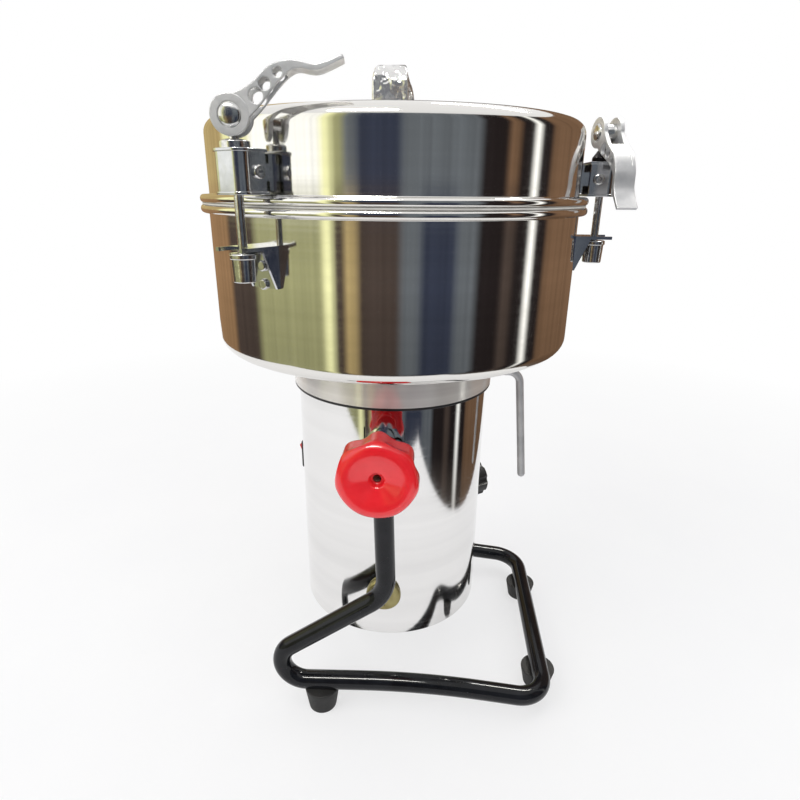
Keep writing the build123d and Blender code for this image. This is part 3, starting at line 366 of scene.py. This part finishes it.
def roundedLoop(corners, steps=8):  # closed outline from (u, v, corner radius)
    spots = [Vector((u, v)) for u, v, radius in corners]
    loop = []
    for k, (u, v, radius) in enumerate(corners):
        loop += roundCorner(spots[k - 1], spots[k], spots[(k + 1) % len(spots)], radius, steps)
    return loop


def smoothLine(points, steps):  # a curve through every point
    spots = [Vector(point) for point in points]
    ends = [spots[0]] + spots + [spots[-1]]
    line = []
    for a, b, c, d in zip(ends, ends[1:], ends[2:], ends[3:]):
        for step in range(steps):
            t = step / steps
            line.append(b + (c - a) * t / 2 + (2 * a - 5 * b + 4 * c - d) * t ** 2 / 2
                        + (3 * b - a - 3 * c + d) * t ** 3 / 2)
    return line + [spots[-1]]


def eased(share):  # 0 to 1 with soft ends
    return share * share * (3 - 2 * share)


def circle(u, v, radius, steps=28):
    turns = [2 * math.pi * step / steps for step in range(steps)]
    return [Vector((u + radius * math.cos(turn), v + radius * math.sin(turn))) for turn in turns]


def meshOf(verts, faces):
    mesh = bpy.data.meshes.new("shape")
    mesh.from_pydata([tuple(vert) for vert in verts], [], faces)
    return mesh


def ringsMesh(rings, capped=False):  # skin over rings of the same count, run round or with two end caps
    count = len(rings[0])
    verts = [vert for ring in rings for vert in ring]
    faces = []
    for k in range(len(rings) - capped):
        here, there = k * count, (k + 1) % len(rings) * count
        for step in range(count):
            side = (step + 1) % count
            faces.append((here + step, here + side, there + side, there + step))
    if capped:
        faces.append(tuple(range(count)))
        faces.append(tuple(range(len(verts) - count, len(verts))))
    return meshOf(verts, faces)


def spun(loop, turns=192):  # closed outline of (radius, height), turned round the z axis
    rings = []
    for k in range(turns):
        turn = 2 * math.pi * k / turns
        rings.append([Vector((u * math.cos(turn), u * math.sin(turn), v)) for u, v in loop])
    return ringsMesh(rings)


def slab(outline, holes, thick, soft, grow=0.0):  # plate in x and y, centred on z = 0, with soft edges
    data = bpy.data.curves.new("outline", "CURVE")
    data.dimensions = "2D"
    data.fill_mode = "BOTH"
    data.extrude = thick / 2 - soft
    data.bevel_depth = soft
    data.bevel_resolution = slabEdgeSteps
    data.offset = grow - soft
    for line in [outline] + holes:
        spline = data.splines.new("POLY")
        spline.points.add(len(line) - 1)
        for point, spot in zip(spline.points, line):
            point.co = (spot[0], spot[1], 0, 1)
        spline.use_cyclic_u = True
    holder = bpy.data.objects.new("outline", data)
    mesh = bpy.data.meshes.new_from_object(holder)
    bpy.data.objects.remove(holder)
    bpy.data.curves.remove(data)
    return mesh


def joined(parts):  # one mesh from (mesh, place) pairs
    work = bmesh.new()
    for mesh, place in parts:
        mesh.transform(place)
        work.from_mesh(mesh)
        bpy.data.meshes.remove(mesh)
    whole = bpy.data.meshes.new("shape")
    work.to_mesh(whole)
    work.free()
    return whole


def newPiece(name, mesh, finish, body, stands=(), sharp=40):
    work = bmesh.new()
    work.from_mesh(mesh)
    bmesh.ops.remove_doubles(work, verts=work.verts, dist=weldGap)
    bmesh.ops.recalc_face_normals(work, faces=work.faces)
    work.to_mesh(mesh)
    work.free()
    mesh.transform(toFrame)
    mesh.name = name
    mesh.materials.clear()
    mesh.materials.append(finishes[finish])
    mesh.shade_smooth()
    mesh.set_sharp_from_angle(angle=math.radians(sharp))
    piece = bpy.data.objects.new(name, mesh)
    scene.collection.objects.link(piece)
    even = piece.modifiers.new("evenNormals", "WEIGHTED_NORMAL")
    even.keep_sharp = True
    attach(piece, body)
    if stands:
        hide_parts(*stands)
    return piece


def turned(angle):
    return Matrix.Rotation(math.radians(angle), 4, "Z")


def pitched(angle):
    return Matrix.Rotation(math.radians(angle), 4, "Y")


standing = Matrix.Rotation(math.pi / 2, 4, "X")  # a flat plate's second axis points up

# spun bowl
bowlSet = {"wall": 1.8, "floor": 3.0, "bore": 21.9, "bead": 5.0, "beadRound": 2.3, "crease": 0.6, "heel": 9.0}


def bowlShell(look):
    low, high = span("bowl")
    wall = high.x - look["bead"]
    inside = wall - look["wall"]
    ledge = high.z - look["bead"]
    floor = low.z + look["floor"]
    return spun(roundedLoop([
        (look["bore"], low.z, 0),
        (wall, low.z, look["heel"]),
        (wall, ledge, look["crease"]),
        (high.x, ledge, look["beadRound"]),
        (high.x, high.z, look["beadRound"]),
        (inside, high.z, 0),
        (inside, floor, look["heel"] - look["wall"]),
        (look["bore"], floor, 0),
    ]))


newPiece("bowlShell", bowlShell(bowlSet), "spunSteel", "head", ["bowl"])

# spun lid
lidSet = {
    "wall": 1.8, "bead": 5.0, "beadOut": 6.0, "beadRound": 2.3, "crease": 0.6, "brow": 8.5, "centre": 0.4,
}


def lidShell(look):
    low, high = span("lid")
    wall = high.x - look["beadOut"]
    inside = wall - look["wall"]
    shelf = low.z + look["bead"]
    under = high.z - look["wall"]
    return spun(roundedLoop([
        (inside, low.z, 0),
        (high.x, low.z, look["beadRound"]),
        (high.x, shelf, look["beadRound"]),
        (wall, shelf, look["crease"]),
        (wall, high.z, look["brow"]),
        (look["centre"], high.z, 0),
        (look["centre"], under, 0),
        (inside, under, look["brow"] - look["wall"]),
    ]))


newPiece("lidShell", lidShell(lidSet), "spunSteel", "head", ["lid"])

# motor shell and the collar over it
shellSet = {
    "wall": 1.5, "edge": 0.25, "edgeSteps": 3, "portHalf": 13.0, "pivotDown": 26.5, "pressHalf": 4.6,
}
collarSet = {"gap": 2.0, "ring": 6.0, "edge": 0.3, "top": 0.4}
# the black ring that paints the shade in the gap under the collar
gapShadeSet = {"inset": 0.2, "wide": 3.0, "lift": 0.1, "over": 0.2, "edge": 0.4}


def motorShell(look):
    low, high = span("motor_housing")
    inside = high.x - look["wall"]
    edge = look["edge"]
    button = sum(span("reset_button"), Vector()) / 2
    pivot = high.z - look["pivotDown"]
    ports = [(Vector((0, side * high.x, pivot)), look["portHalf"]) for side in (-1, 1)]
    ports.append((button, look["pressHalf"]))
    levels = sorted({spot.z + side * half for spot, half in ports for side in (-1, 1)})
    outer = [(high.x, level, 0) for level in levels]
    inner = [(inside, level, 0) for level in reversed(levels)]
    mesh = spun(roundedLoop([
        (inside, low.z, 0), (high.x, low.z, edge), *outer,
        (high.x, high.z, edge), (inside, high.z, 0), *inner,
    ], look["edgeSteps"]))
    work = bmesh.new()
    work.from_mesh(mesh)
    holes = []
    for face in work.faces:
        middle = face.calc_center_median()
        for spot, half in ports:
            way = Vector((middle.x, middle.y)).angle(Vector((spot.x, spot.y)))
            if way * high.x < half and abs(middle.z - spot.z) < half:
                holes.append(face)  # left open behind the flanges, where studs and button pass
    bmesh.ops.delete(work, geom=holes, context="FACES")
    work.to_mesh(mesh)
    work.free()
    return mesh


def collarRing(look):
    outer = span("motor_collar")[1].x
    bottom = span("motor_housing")[1].z + look["gap"]
    top = span("bowl")[0].z - look["top"]
    return spun(roundedLoop([
        (outer - look["ring"], bottom, 0),
        (outer, bottom, look["edge"]),
        (outer, top, 0),
        (outer - look["ring"], top, 0),
    ]))


def collarGapShade(look, gap):  # a black ring in the gap under the collar: painted shade where the gap's shadow falls
    outer = span("motor_collar")[1].x - look["inset"]
    shellTop = span("motor_housing")[1].z
    bottom, top = shellTop + look["lift"], shellTop + gap + look["over"]
    return spun(roundedLoop([
        (outer - look["wide"], bottom, 0),
        (outer, bottom, look["edge"]),
        (outer, top, 0),
        (outer - look["wide"], top, 0),
    ]))


newPiece("motorShell", motorShell(shellSet), "mirrorShell", "head", ["motor_housing"])
newPiece("collarRing", collarRing(collarSet), "turnedCollar", "head", ["motor_collar"])
# black ring in the collar gap: painted shade
newPiece("collarGapShade", collarGapShade(gapShadeSet, collarSet["gap"]), "blackMoulding", "head")
print("turned shells made")

# clamp knobs, soft seven-lobed mouldings, each with the tip of its stud in the well
knobSet = {
    "rim": 26.0, "rimRound": 6.0, "hub": 13.0, "hubHigh": 4.5, "hubEdge": 1.0, "hubRoot": 0.8, "bore": 4.1,
    "dish": 17.0, "dishDeep": 4.0, "dishRound": 15.0, "well": 5.1, "wellRound": 1.6, "wellDeep": 4.5,
    "eye": 3.4, "eyeDeep": 3.2, "eyeRound": 0.5, "tipHole": 2.6, "lobes": 7, "fluteIn": 3.4,
    "plainFront": 1.0, "fade": 9.0, "rimBand": 1.0, "rimRows": 8, "turns": 168, "sharp": 60,
}
studSet = {
    "stem": 4.0, "stemRound": 0.6, "tip": 2.3, "tipUp": 2.3, "tipRound": 0.9, "seat": 0.1,
    "steps": 5, "turns": 48,
}


def flutedKnob(look, face):
    rim, back = look["rim"], look["hubHigh"]
    floor = face - look["dishDeep"]
    loop = roundedLoop([
        (look["bore"], 0, 0),
        (look["hub"], 0, look["hubEdge"]),
        (look["hub"], back, look["hubRoot"]),
        (rim, back, look["rimRound"]),
        (rim, face, look["rimRound"]),
        (look["dish"], face, look["dishRound"]),
        (look["well"], floor, look["wellRound"]),
        (look["eye"], floor - look["eyeDeep"], look["eyeRound"]),
        (look["tipHole"], floor - look["eyeDeep"], 0),
        (look["tipHole"], floor - look["wellDeep"], 0),
        (look["bore"], floor - look["wellDeep"], 0),
    ])
    tall = []
    for spot, nextSpot in zip(loop, loop[1:] + loop[:1]):
        parts = look["rimRows"] if min(spot.x, nextSpot.x) > rim - look["rimBand"] else 1
        tall += [spot.lerp(nextSpot, part / parts) for part in range(parts)]
    rings = []
    for k in range(look["turns"]):
        turn = 2 * math.pi * k / look["turns"]
        valley = 0.5 - 0.5 * math.cos(look["lobes"] * turn)
        ring = []
        for u, v in tall:
            depth = min(max((face - look["plainFront"] - v) / look["fade"], 0), 1)
            outer = min(max((u - look["hub"]) / (rim - look["hub"]), 0), 1)
            radius = u - look["fluteIn"] * valley * eased(depth) * outer
            ring.append(Vector((radius * math.sin(turn), radius * math.cos(turn), v)))
        rings.append(ring)
    return ringsMesh(rings)


def clampStud(look, inner, well):  # its tip shows at the bottom of the knob's well
    neck = well - look["seat"]
    top = neck + look["tipUp"]
    return spun(roundedLoop([
        (axisGap, -inner, 0), (look["stem"], -inner, look["stemRound"]), (look["stem"], neck, 0),
        (look["tip"], neck, 0), (look["tip"], top, look["tipRound"]), (axisGap, top, 0),
    ], look["steps"]), look["turns"])


for side, name in ((-1, "near"), (1, "far")):
    low, high = span(f"{name}_knob")
    start = high.y if side < 0 else low.y
    place = Matrix.Translation((0, start, (low.z + high.z) / 2))
    place = place @ Matrix.Rotation(math.pi / 2 * -side, 4, "X")
    if side > 0:
        place = place @ Matrix.Rotation(math.pi, 4, "Z")
    face = high.y - low.y
    knob = flutedKnob(knobSet, face)
    newPiece(f"{name}ClampKnob", joined([(knob, place)]), "redMoulding", f"{name}_clamp",
             [f"{name}_knob"], knobSet["sharp"])
    inner = min(abs(corner.y) for corner in span(f"{name}_stud"))
    stud = clampStud(studSet, abs(start) - inner, face - knobSet["dishDeep"] - knobSet["wellDeep"])
    # the stud's finish paints shade and a red reflection from the knob's well
    newPiece(f"{name}ClampStud", joined([(stud, place)]), "studShadeAndRedReflection", f"{name}_clamp",
             [f"{name}_stud"])
print("knobs made")

# quick-release latches: a lever over a folded yoke, with the barrel's bright ends in the lever's eyes
latchAngles = {"right": 0.0, "back": 120.0, "left": -120.0}
latchSharp = 30
nutLow, nutHigh = span("right_nut")
rodRadius = (nutLow.x + nutHigh.x) / 2  # from the motor axis to a latch rod
leverSet = {
    "headings": {"right": -78.0, "back": 0.0, "left": 8.0},
    "drops": {"right": 75.0, "back": 0.0, "left": 0.0},
    "long": 55.0, "wide": 14.0, "gap": 8.4, "soft": 0.5, "plateIn": 0.1, "forkShare": 0.5, "curveSteps": 8,
    "eye": 9.4, "eyeMore": 0.2, "eyeTurns": 64, "barrel": 11.0, "barrelGap": 0.05, "barrelTurns": 48,
    "web": 1.6, "webIn": 0.4, "webFrom": 0.2, "webTo": 0.56, "webSoft": 0.2,
    "topShares": ((-0.02, 0.143), (0.19, 0.24), (0.37, 0.385), (0.56, 0.425), (0.76, 0.398), (0.985, 0.475)),
    "lowShares": ((1.0, 0.443), (0.77, 0.35), (0.58, 0.36), (0.43, 0.25), (0.27, 0.075), (0.12, -0.065)),
    "holeShares": ((0.235, 0.15, 0.06), (0.315, 0.243, 0.048), (0.43, 0.333, 0.038)),
}
yokeSet = {"wall": 1.6, "lip": 0.8, "nose": 7.0, "soft": 0.35, "rodHole": 2.7}
pinSet = {
    "inboard": 4.5, "up": 10.9, "radius": 1.8, "head": 3.5, "headRound": 1.1, "high": 2.0, "socket": 1.4,
    "deep": 1.4, "gap": 0.1, "steps": 5, "turns": 40,
}
domeSet = {"radius": 5.3, "high": 1.8, "body": 1.0, "tip": 1e-3, "rings": 7, "turns": 40}


def latchLever(look):
    size = look["long"]
    upper = [spot * size for spot in smoothLine(look["topShares"], look["curveSteps"])]
    lower = [spot * size for spot in smoothLine(look["lowShares"], look["curveSteps"])]
    holes = [circle(u * size, v * size, radius * size) for u, v, radius in look["holeShares"]]
    fork = look["forkShare"] * size
    paddle = [spot for spot in upper if spot.x > fork] + [spot for spot in lower if spot.x > fork]
    prong = (look["wide"] - look["gap"]) / 2
    out = (look["gap"] + prong) / 2
    eye = circle(0, 0, look["eye"], look["eyeTurns"])
    bore = circle(0, 0, look["barrel"] / 2 + look["barrelGap"], look["barrelTurns"])
    less = look["plateIn"]
    parts = [(slab(paddle, [], look["wide"], look["soft"]), standing)]
    for side in (-1, 1):
        place = Matrix.Translation((0, side * out, 0)) @ standing
        parts.append((slab(upper + lower, holes, prong - less, look["soft"], -less), place))
        parts.append((slab(eye, [bore], prong + look["eyeMore"], look["soft"]), place))
    ridge = [spot for spot in upper if look["webFrom"] * size < spot.x < look["webTo"] * size]
    web = [spot - Vector((0, look["webIn"])) for spot in ridge]
    web += [spot - Vector((0, look["web"])) for spot in reversed(web)]
    parts.append((slab(web, [], look["gap"] + 2 * look["webIn"], look["webSoft"]), standing))
    return joined(parts)


def dome(look):  # low round cap, its rim on z = 0
    rings = []
    for k in range(look["turns"]):
        turn = 2 * math.pi * k / look["turns"]
        ring = []
        for step in range(look["rings"] + 1):
            lean = math.pi / 2 * step / look["rings"]
            radius = look["radius"] * math.cos(lean) + look["tip"]
            rise = look["high"] * math.sin(lean)
            ring.append(Vector((radius * math.cos(turn), radius * math.sin(turn), rise)))
        rings.append(ring + [Vector((0, 0, -look["body"]))])
    return ringsMesh(rings)


def foldedYoke(look):
    low, high = span("right_yoke")
    back, front, half = low.x, high.x, high.y
    wall, nose = look["wall"], look["nose"]
    strap = roundedLoop([
        (back, -half, 0), (front, -half, nose), (front, half, nose), (back, half, 0),
        (back, half - wall, 0), (front - wall, half - wall, nose - wall),
        (front - wall, wall - half, nose - wall), (back, wall - half, 0),
    ])
    plate = roundedLoop([(back, -half, 0), (front, -half, nose), (front, half, nose), (back, half, 0)])
    hole = [circle(rodRadius, 0, look["rodHole"])]
    middle = Matrix.Translation((0, 0, (low.z + high.z) / 2))
    parts = [(slab(strap, [], high.z - low.z - wall, look["soft"]), middle)]
    for level in (low.z + wall / 2, high.z - wall / 2):
        parts.append((slab(plate, hole, wall, look["soft"], look["lip"]), Matrix.Translation((0, 0, level))))
    return joined(parts)


def hingePin(look):  # a pin with a socketed head at each end
    yokeLow, yokeHigh = span("right_yoke")
    end = yokeHigh.y + look["gap"] + look["high"]
    neck = end - look["high"]
    floor = end - look["deep"]
    head, rod, socket = look["head"], look["radius"], look["socket"]
    soft = look["headRound"]
    pin = spun(roundedLoop([
        (axisGap, -floor, 0), (socket, -floor, 0), (socket, -end, 0), (head, -end, soft), (head, -neck, 0),
        (rod, -neck, 0), (rod, neck, 0), (head, neck, 0), (head, end, soft), (socket, end, 0),
        (socket, floor, 0), (axisGap, floor, 0),
    ], look["steps"]), look["turns"])
    pin.transform(Matrix.Translation((rodRadius - look["inboard"], 0, yokeLow.z + look["up"])) @ standing)
    return pin


for name, angle in latchAngles.items():
    heading, drop = leverSet["headings"][name], leverSet["drops"][name]
    barrelZ = span(f"{name}_rod")[1].z - leverSet["barrel"] / 2
    hinge = turned(angle) @ Matrix.Translation((rodRadius, 0, barrelZ))
    level = Matrix.Translation(hinge.translation) @ turned(heading)
    lever = joined([(latchLever(leverSet), level @ pitched(drop))])
    newPiece(f"{name}Lever", lever, "satinZinc", f"{name}_cam_lever",
             [f"{name}_lever"], latchSharp)
    newPiece(f"{name}Yoke", joined([(foldedYoke(yokeSet), turned(angle))]), "latchNickel", f"{name}_latch",
             [f"{name}_yoke"], latchSharp)
    for side, end in ((-1, "A"), (1, "B")):
        spot = level @ Matrix.Translation((0, side * leverSet["wide"] / 2, 0))
        spot = spot @ Matrix.Rotation(-side * math.pi / 2, 4, "X")
        newPiece(f"{name}BarrelEnd{end}", joined([(dome(domeSet), spot)]), "brightPin", f"{name}_latch")
pins = [(hingePin(pinSet), turned(angle)) for angle in latchAngles.values()]
newPiece("hingePins", joined(pins), "brightPin", "head", ["hinge_pins"])
print("latches made")

# lid handle: a bright strap, wide at its feet and narrower over the top
handleSet = {
    "thick": 4.0, "bend": 11.0, "feet": 22.0, "top": 17.5, "edge": 1.4, "edgeSteps": 4, "taper": 26.0,
    "taperFrom": 0.55, "legSteps": 8, "bendSteps": 12, "topSteps": 12, "topFrom": 0.2, "topTo": 0.8,
}


def strapHandle(look):
    low, high = span("lid_handle")
    half = high.y - look["thick"] / 2
    crown = high.z - look["thick"] / 2
    corners = [Vector((-half, low.z)), Vector((-half, crown)), Vector((half, crown)), Vector((half, low.z))]
    bend, thick, edge = look["bend"] - look["thick"] / 2, look["thick"], look["edge"]
    legs, tops, flat = look["legSteps"], look["topSteps"], look["topTo"] - look["topFrom"]
    line = [corners[0].lerp(corners[1], step / legs) for step in range(legs // 2 + 1)]
    line += roundCorner(*corners[:3], bend, look["bendSteps"])
    line += [corners[1].lerp(corners[2], look["topFrom"] + flat * step / tops) for step in range(tops + 1)]
    line += roundCorner(*corners[1:], bend, look["bendSteps"])
    line += [corners[2].lerp(corners[3], step / legs) for step in range(legs // 2, legs + 1)]
    rings = []
    for k, spot in enumerate(line):
        way = (line[min(k + 1, len(line) - 1)] - line[max(k - 1, 0)]).normalized()
        rise = (spot.y - low.z) / (crown - low.z)
        inward = max(0.0, half - abs(spot.x)) / look["taper"]
        share = min(1.0, max(0.0, rise - look["taperFrom"]) + inward)
        wide = look["feet"] + (look["top"] - look["feet"]) * eased(share)
        section = roundedLoop([
            (-wide / 2, -thick / 2, edge), (wide / 2, -thick / 2, edge),
            (wide / 2, thick / 2, edge), (-wide / 2, thick / 2, edge),
        ], look["edgeSteps"])
        rings.append([Vector((u, spot.x - way.y * v, spot.y + way.x * v)) for u, v in section])
    return ringsMesh(rings, True)


newPiece("strapHandle", strapHandle(handleSet), "strapSteel", "head", ["lid_handle"])
print("handle made")


# floor, room and lamps
roomSet = {
    "reach": 1.5, "low": -0.9, "high": 1.4, "turnAt": 0.36, "soft": 0.05,
    "blend": 2.6, "blendShare": 0.3, "step": 5.0,
    "streak": 14.0, "streakDetail": 4.0, "streakRange": (0.82, 1.18), "streakStretch": (1, 1, 0.02),
    "fade": {"From Min": -0.5, "From Max": 0.12, "To Min": 0.8, "To Max": 1.35},  # brighter towards the top
    "murk": {"From Min": -0.5, "From Max": -0.8, "To Min": 0.0, "To Max": 0.6}, "murkTone": (116, 106, 98),
}
roomTones = {
    "white": (255, 255, 250), "lemon": (230, 230, 175), "straw": (170, 150, 105), "olive": (150, 150, 110),
    "tan": (140, 110, 80), "walnut": (110, 85, 65), "umber": (70, 60, 55), "slate": (95, 100, 105),
    "navy": (50, 55, 70), "soot": (35, 30, 30),
}
roomPanels = (  # bearing from and to, degrees right of the viewer; tone low in the room, tone high
    (-165, -108, "tan", "straw"),
    (-108, -82, "umber", "lemon"),
    (-82, -35, "olive", "white"),
    (-35, -29, "lemon", "lemon"),
    (-29, -23, "umber", "olive"),
    (-23, -16, "straw", "slate"),
    (-16, 8, "umber", "navy"),
    (8, 19, "slate", "slate"),
    (19, 39, "navy", "slate"),
    (39, 51, "slate", "slate"),
    (51, 68, "soot", "soot"),
    (68, 75, "umber", "walnut"),
    (75, 86, "soot", "soot"),
    (86, 90, "white", "white"),
    (90, 101, "soot", "soot"),
    (101, 165, "walnut", "walnut"),
    (165, 195, "olive", "umber"),
)
tableSet = {
    "left": -0.75, "right": 0.31, "front": -0.47, "back": 1.2, "far": 8.0,
    "glow": {"From Min": 0.35, "From Max": 1.1, "To Min": 0.62, "To Max": 1.0},
    "mottle": 9, "tones": (tone(244, 244, 247), tone(248, 248, 250)),
}
paneSet = {
    "long": 0.8, "wide": 0.16, "strength": 70.0, "turns": 32,
    "places": ((-0.3, -0.85, 1.5), (0.55, 0.5, 1.5)),
    "mottle": 6, "tones": (tone(255, 250, 238), tone(255, 255, 252)),
}
lampSet = (  # name, place, size, watts, colour
    ("windowLamp", (-1.2, -0.9, 1.3), 1.2, 13, (1.0, 0.99, 0.96)),
    ("fillLamp", (1.1, -1.0, 1.1), 1.2, 6, (0.97, 0.98, 1.0)),
    ("topLamp", (0.0, 0.2, 1.7), 1.4, 8, (1.0, 1.0, 1.0)),
)
lampAim = 0.22  # height that the lamps point at
airLevel = {"To Min": 0.5, "To Max": 1.0}  # light on the grinder, and white to the eye


def roomFinish():  # low and high tones from the ring's own colours, with upright streaks
    finish, tree, shader = newFinish("roomGlow")
    tree.nodes.remove(shader)
    low = put(tree, "ShaderNodeAttribute", attribute_name="lowTone")
    high = put(tree, "ShaderNodeAttribute", attribute_name="highTone")
    place = put(tree, "ShaderNodeTexCoord").outputs["Object"]
    split = put(tree, "ShaderNodeSeparateXYZ")
    tree.links.new(place, split.inputs[0])
    rise = put(tree, "ShaderNodeMapRange", {
        "From Min": roomSet["turnAt"] - roomSet["soft"], "From Max": roomSet["turnAt"] + roomSet["soft"]})
    tree.links.new(split.outputs["Z"], rise.inputs["Value"])
    blend = put(tree, "ShaderNodeMixRGB")
    tree.links.new(rise.outputs[0], blend.inputs["Fac"])
    tree.links.new(low.outputs["Color"], blend.inputs["Color1"])
    tree.links.new(high.outputs["Color"], blend.inputs["Color2"])
    murk = put(tree, "ShaderNodeMapRange", roomSet["murk"])
    tree.links.new(split.outputs["Z"], murk.inputs["Value"])
    dull = put(tree, "ShaderNodeMixRGB", {"Color2": tone(*roomSet["murkTone"])})
    tree.links.new(murk.outputs["Result"], dull.inputs["Fac"])
    tree.links.new(blend.outputs["Color"], dull.inputs["Color1"])
    upright = stretched(tree, roomSet["streakStretch"])
    streak = noise(tree, upright, roomSet["streak"], roomSet["streakDetail"])
    fade = put(tree, "ShaderNodeMapRange", roomSet["fade"])
    tree.links.new(split.outputs["Z"], fade.inputs["Value"])
    level = put(tree, "ShaderNodeMath", operation="MULTIPLY")
    tree.links.new(ranged(tree, streak, *roomSet["streakRange"]), level.inputs[0])
    tree.links.new(fade.outputs["Result"], level.inputs[1])
    tree.links.new(level.outputs[0], glowing(tree, dull.outputs["Color"]))
    return finish


def stageMesh(name, verts, faces, finish):
    mesh = bpy.data.meshes.new(name)
    mesh.from_pydata(verts, [], faces)
    mesh.materials.append(finish)
    piece = bpy.data.objects.new(name, mesh)
    scene.collection.objects.link(piece)
    return piece


def mirrorOnly(piece):  # seen in the polished metal and nowhere else
    piece.visible_camera = False
    piece.visible_diffuse = False
    piece.visible_shadow = False
    piece.visible_transmission = False


def roomSpot(bearing, height):
    turn = math.radians(bearing)
    return (axisX + roomSet["reach"] * math.sin(turn), axisY - roomSet["reach"] * math.cos(turn), height)


def makeRoom():
    verts, lows, highs = [], [], []
    for start, end, low, high in roomPanels:
        blend = min(roomSet["blend"], roomSet["blendShare"] * (end - start))
        first, last = start + blend, end - blend
        count = math.ceil((last - first) / roomSet["step"])
        for k in range(count + 1):
            bearing = first + (last - first) * k / count
            verts += [roomSpot(bearing, roomSet["low"]), roomSpot(bearing, roomSet["high"])]
            lows += tone(*roomTones[low]) * 2
            highs += tone(*roomTones[high]) * 2
    faces = [(k, k + 2, k + 3, k + 1) for k in range(0, len(verts) - 2, 2)]
    ring = stageMesh("roomRing", verts, faces, roomFinish())
    for name, tones in (("lowTone", lows), ("highTone", highs)):
        layer = ring.data.attributes.new(name, "FLOAT_COLOR", "POINT")
        layer.data.foreach_set("color", tones)
    mirrorOnly(ring)


def makePanes():
    finish, tree, shader = newFinish("paneGlow")
    tree.nodes.remove(shader)
    dim = noise(tree, stretched(tree, (1, 1, 1)), paneSet["mottle"])
    glowing(tree, mixed(tree, dim, *paneSet["tones"])).default_value = paneSet["strength"]
    long, wide = paneSet["long"] / 2, paneSet["wide"] / 2
    for k, (x, y, z) in enumerate(paneSet["places"]):
        rim = circle(0, 0, 1, paneSet["turns"])
        verts = [(axisX + x + u * long, axisY + y + v * wide, z) for u, v in rim]
        faces = [tuple(range(len(verts)))]
        mirrorOnly(stageMesh(f"ceilingPane{k}", verts, faces, finish))


def floorFinish():  # white to the eye, and it still takes the grinder's shadow
    finish, tree, shader = newFinish("paleFloor")
    tree.nodes.remove(shader)
    share = put(tree, "ShaderNodeMath", operation="MULTIPLY")
    tree.links.new(seenRays(tree), share.inputs[0])
    far = put(tree, "ShaderNodeVectorMath", operation="LENGTH")
    tree.links.new(put(tree, "ShaderNodeTexCoord").outputs["Object"], far.inputs[0])
    level = put(tree, "ShaderNodeMapRange", tableSet["glow"])
    tree.links.new(far.outputs["Value"], level.inputs["Value"])
    tree.links.new(level.outputs["Result"], share.inputs[1])
    mottle = noise(tree, stretched(tree, (1, 1, 1)), tableSet["mottle"])
    paper = put(tree, "ShaderNodeBsdfDiffuse")
    tree.links.new(mixed(tree, mottle, *tableSet["tones"]), paper.inputs["Color"])
    glow = put(tree, "ShaderNodeEmission", {"Color": (1, 1, 1, 1), "Strength": 1.0})
    mix = put(tree, "ShaderNodeMixShader")
    tree.links.new(share.outputs[0], mix.inputs["Fac"])
    tree.links.new(paper.outputs[0], mix.inputs[1])
    tree.links.new(glow.outputs[0], mix.inputs[2])
    tree.links.new(mix.outputs[0], tree.nodes["Material Output"].inputs["Surface"])
    return finish


def makeFloor():
    white = floorFinish()
    left, right = axisX + tableSet["left"], axisX + tableSet["right"]
    front, back, far = axisY + tableSet["front"], axisY + tableSet["back"], tableSet["far"]
    inner = [(left, front, 0), (right, front, 0), (right, back, 0), (left, back, 0)]
    outer = [(-far, -far, 0), (far, -far, 0), (far, far, 0), (-far, far, 0)]
    stageMesh("tableTop", inner, [(0, 1, 2, 3)], white)
    field = stageMesh("floorField", inner + outer,
                      [(4, 5, 1, 0), (5, 6, 2, 1), (6, 7, 3, 2), (7, 4, 0, 3)], white)
    field.visible_glossy = False


def makeLamps():
    for name, place, size, watts, colour in lampSet:
        data = bpy.data.lights.new(name, "AREA")
        data.energy = watts
        data.size = size
        data.color = colour
        lamp = bpy.data.objects.new(name, data)
        scene.collection.objects.link(lamp)
        spot = Vector((axisX, axisY, 0)) + Vector(place)
        aim = Vector((axisX, axisY, lampAim)) - spot
        lamp.matrix_world = Matrix.Translation(spot) @ aim.to_track_quat("-Z", "Y").to_matrix().to_4x4()
        lamp.visible_glossy = False


def makeAir():
    world = bpy.data.worlds.new("studioAir")
    scene.world = world
    world.use_nodes = True
    tree = world.node_tree
    level = put(tree, "ShaderNodeMapRange", airLevel)
    tree.links.new(seenRays(tree), level.inputs["Value"])
    air = tree.nodes["Background"]
    air.inputs["Color"].default_value = (1, 1, 1, 1)
    tree.links.new(level.outputs[0], air.inputs["Strength"])


makeRoom()
makePanes()
makeFloor()
makeLamps()
makeAir()
print("stage set,", len(roomPanels), "room panels,", len(lampSet), "lamps")
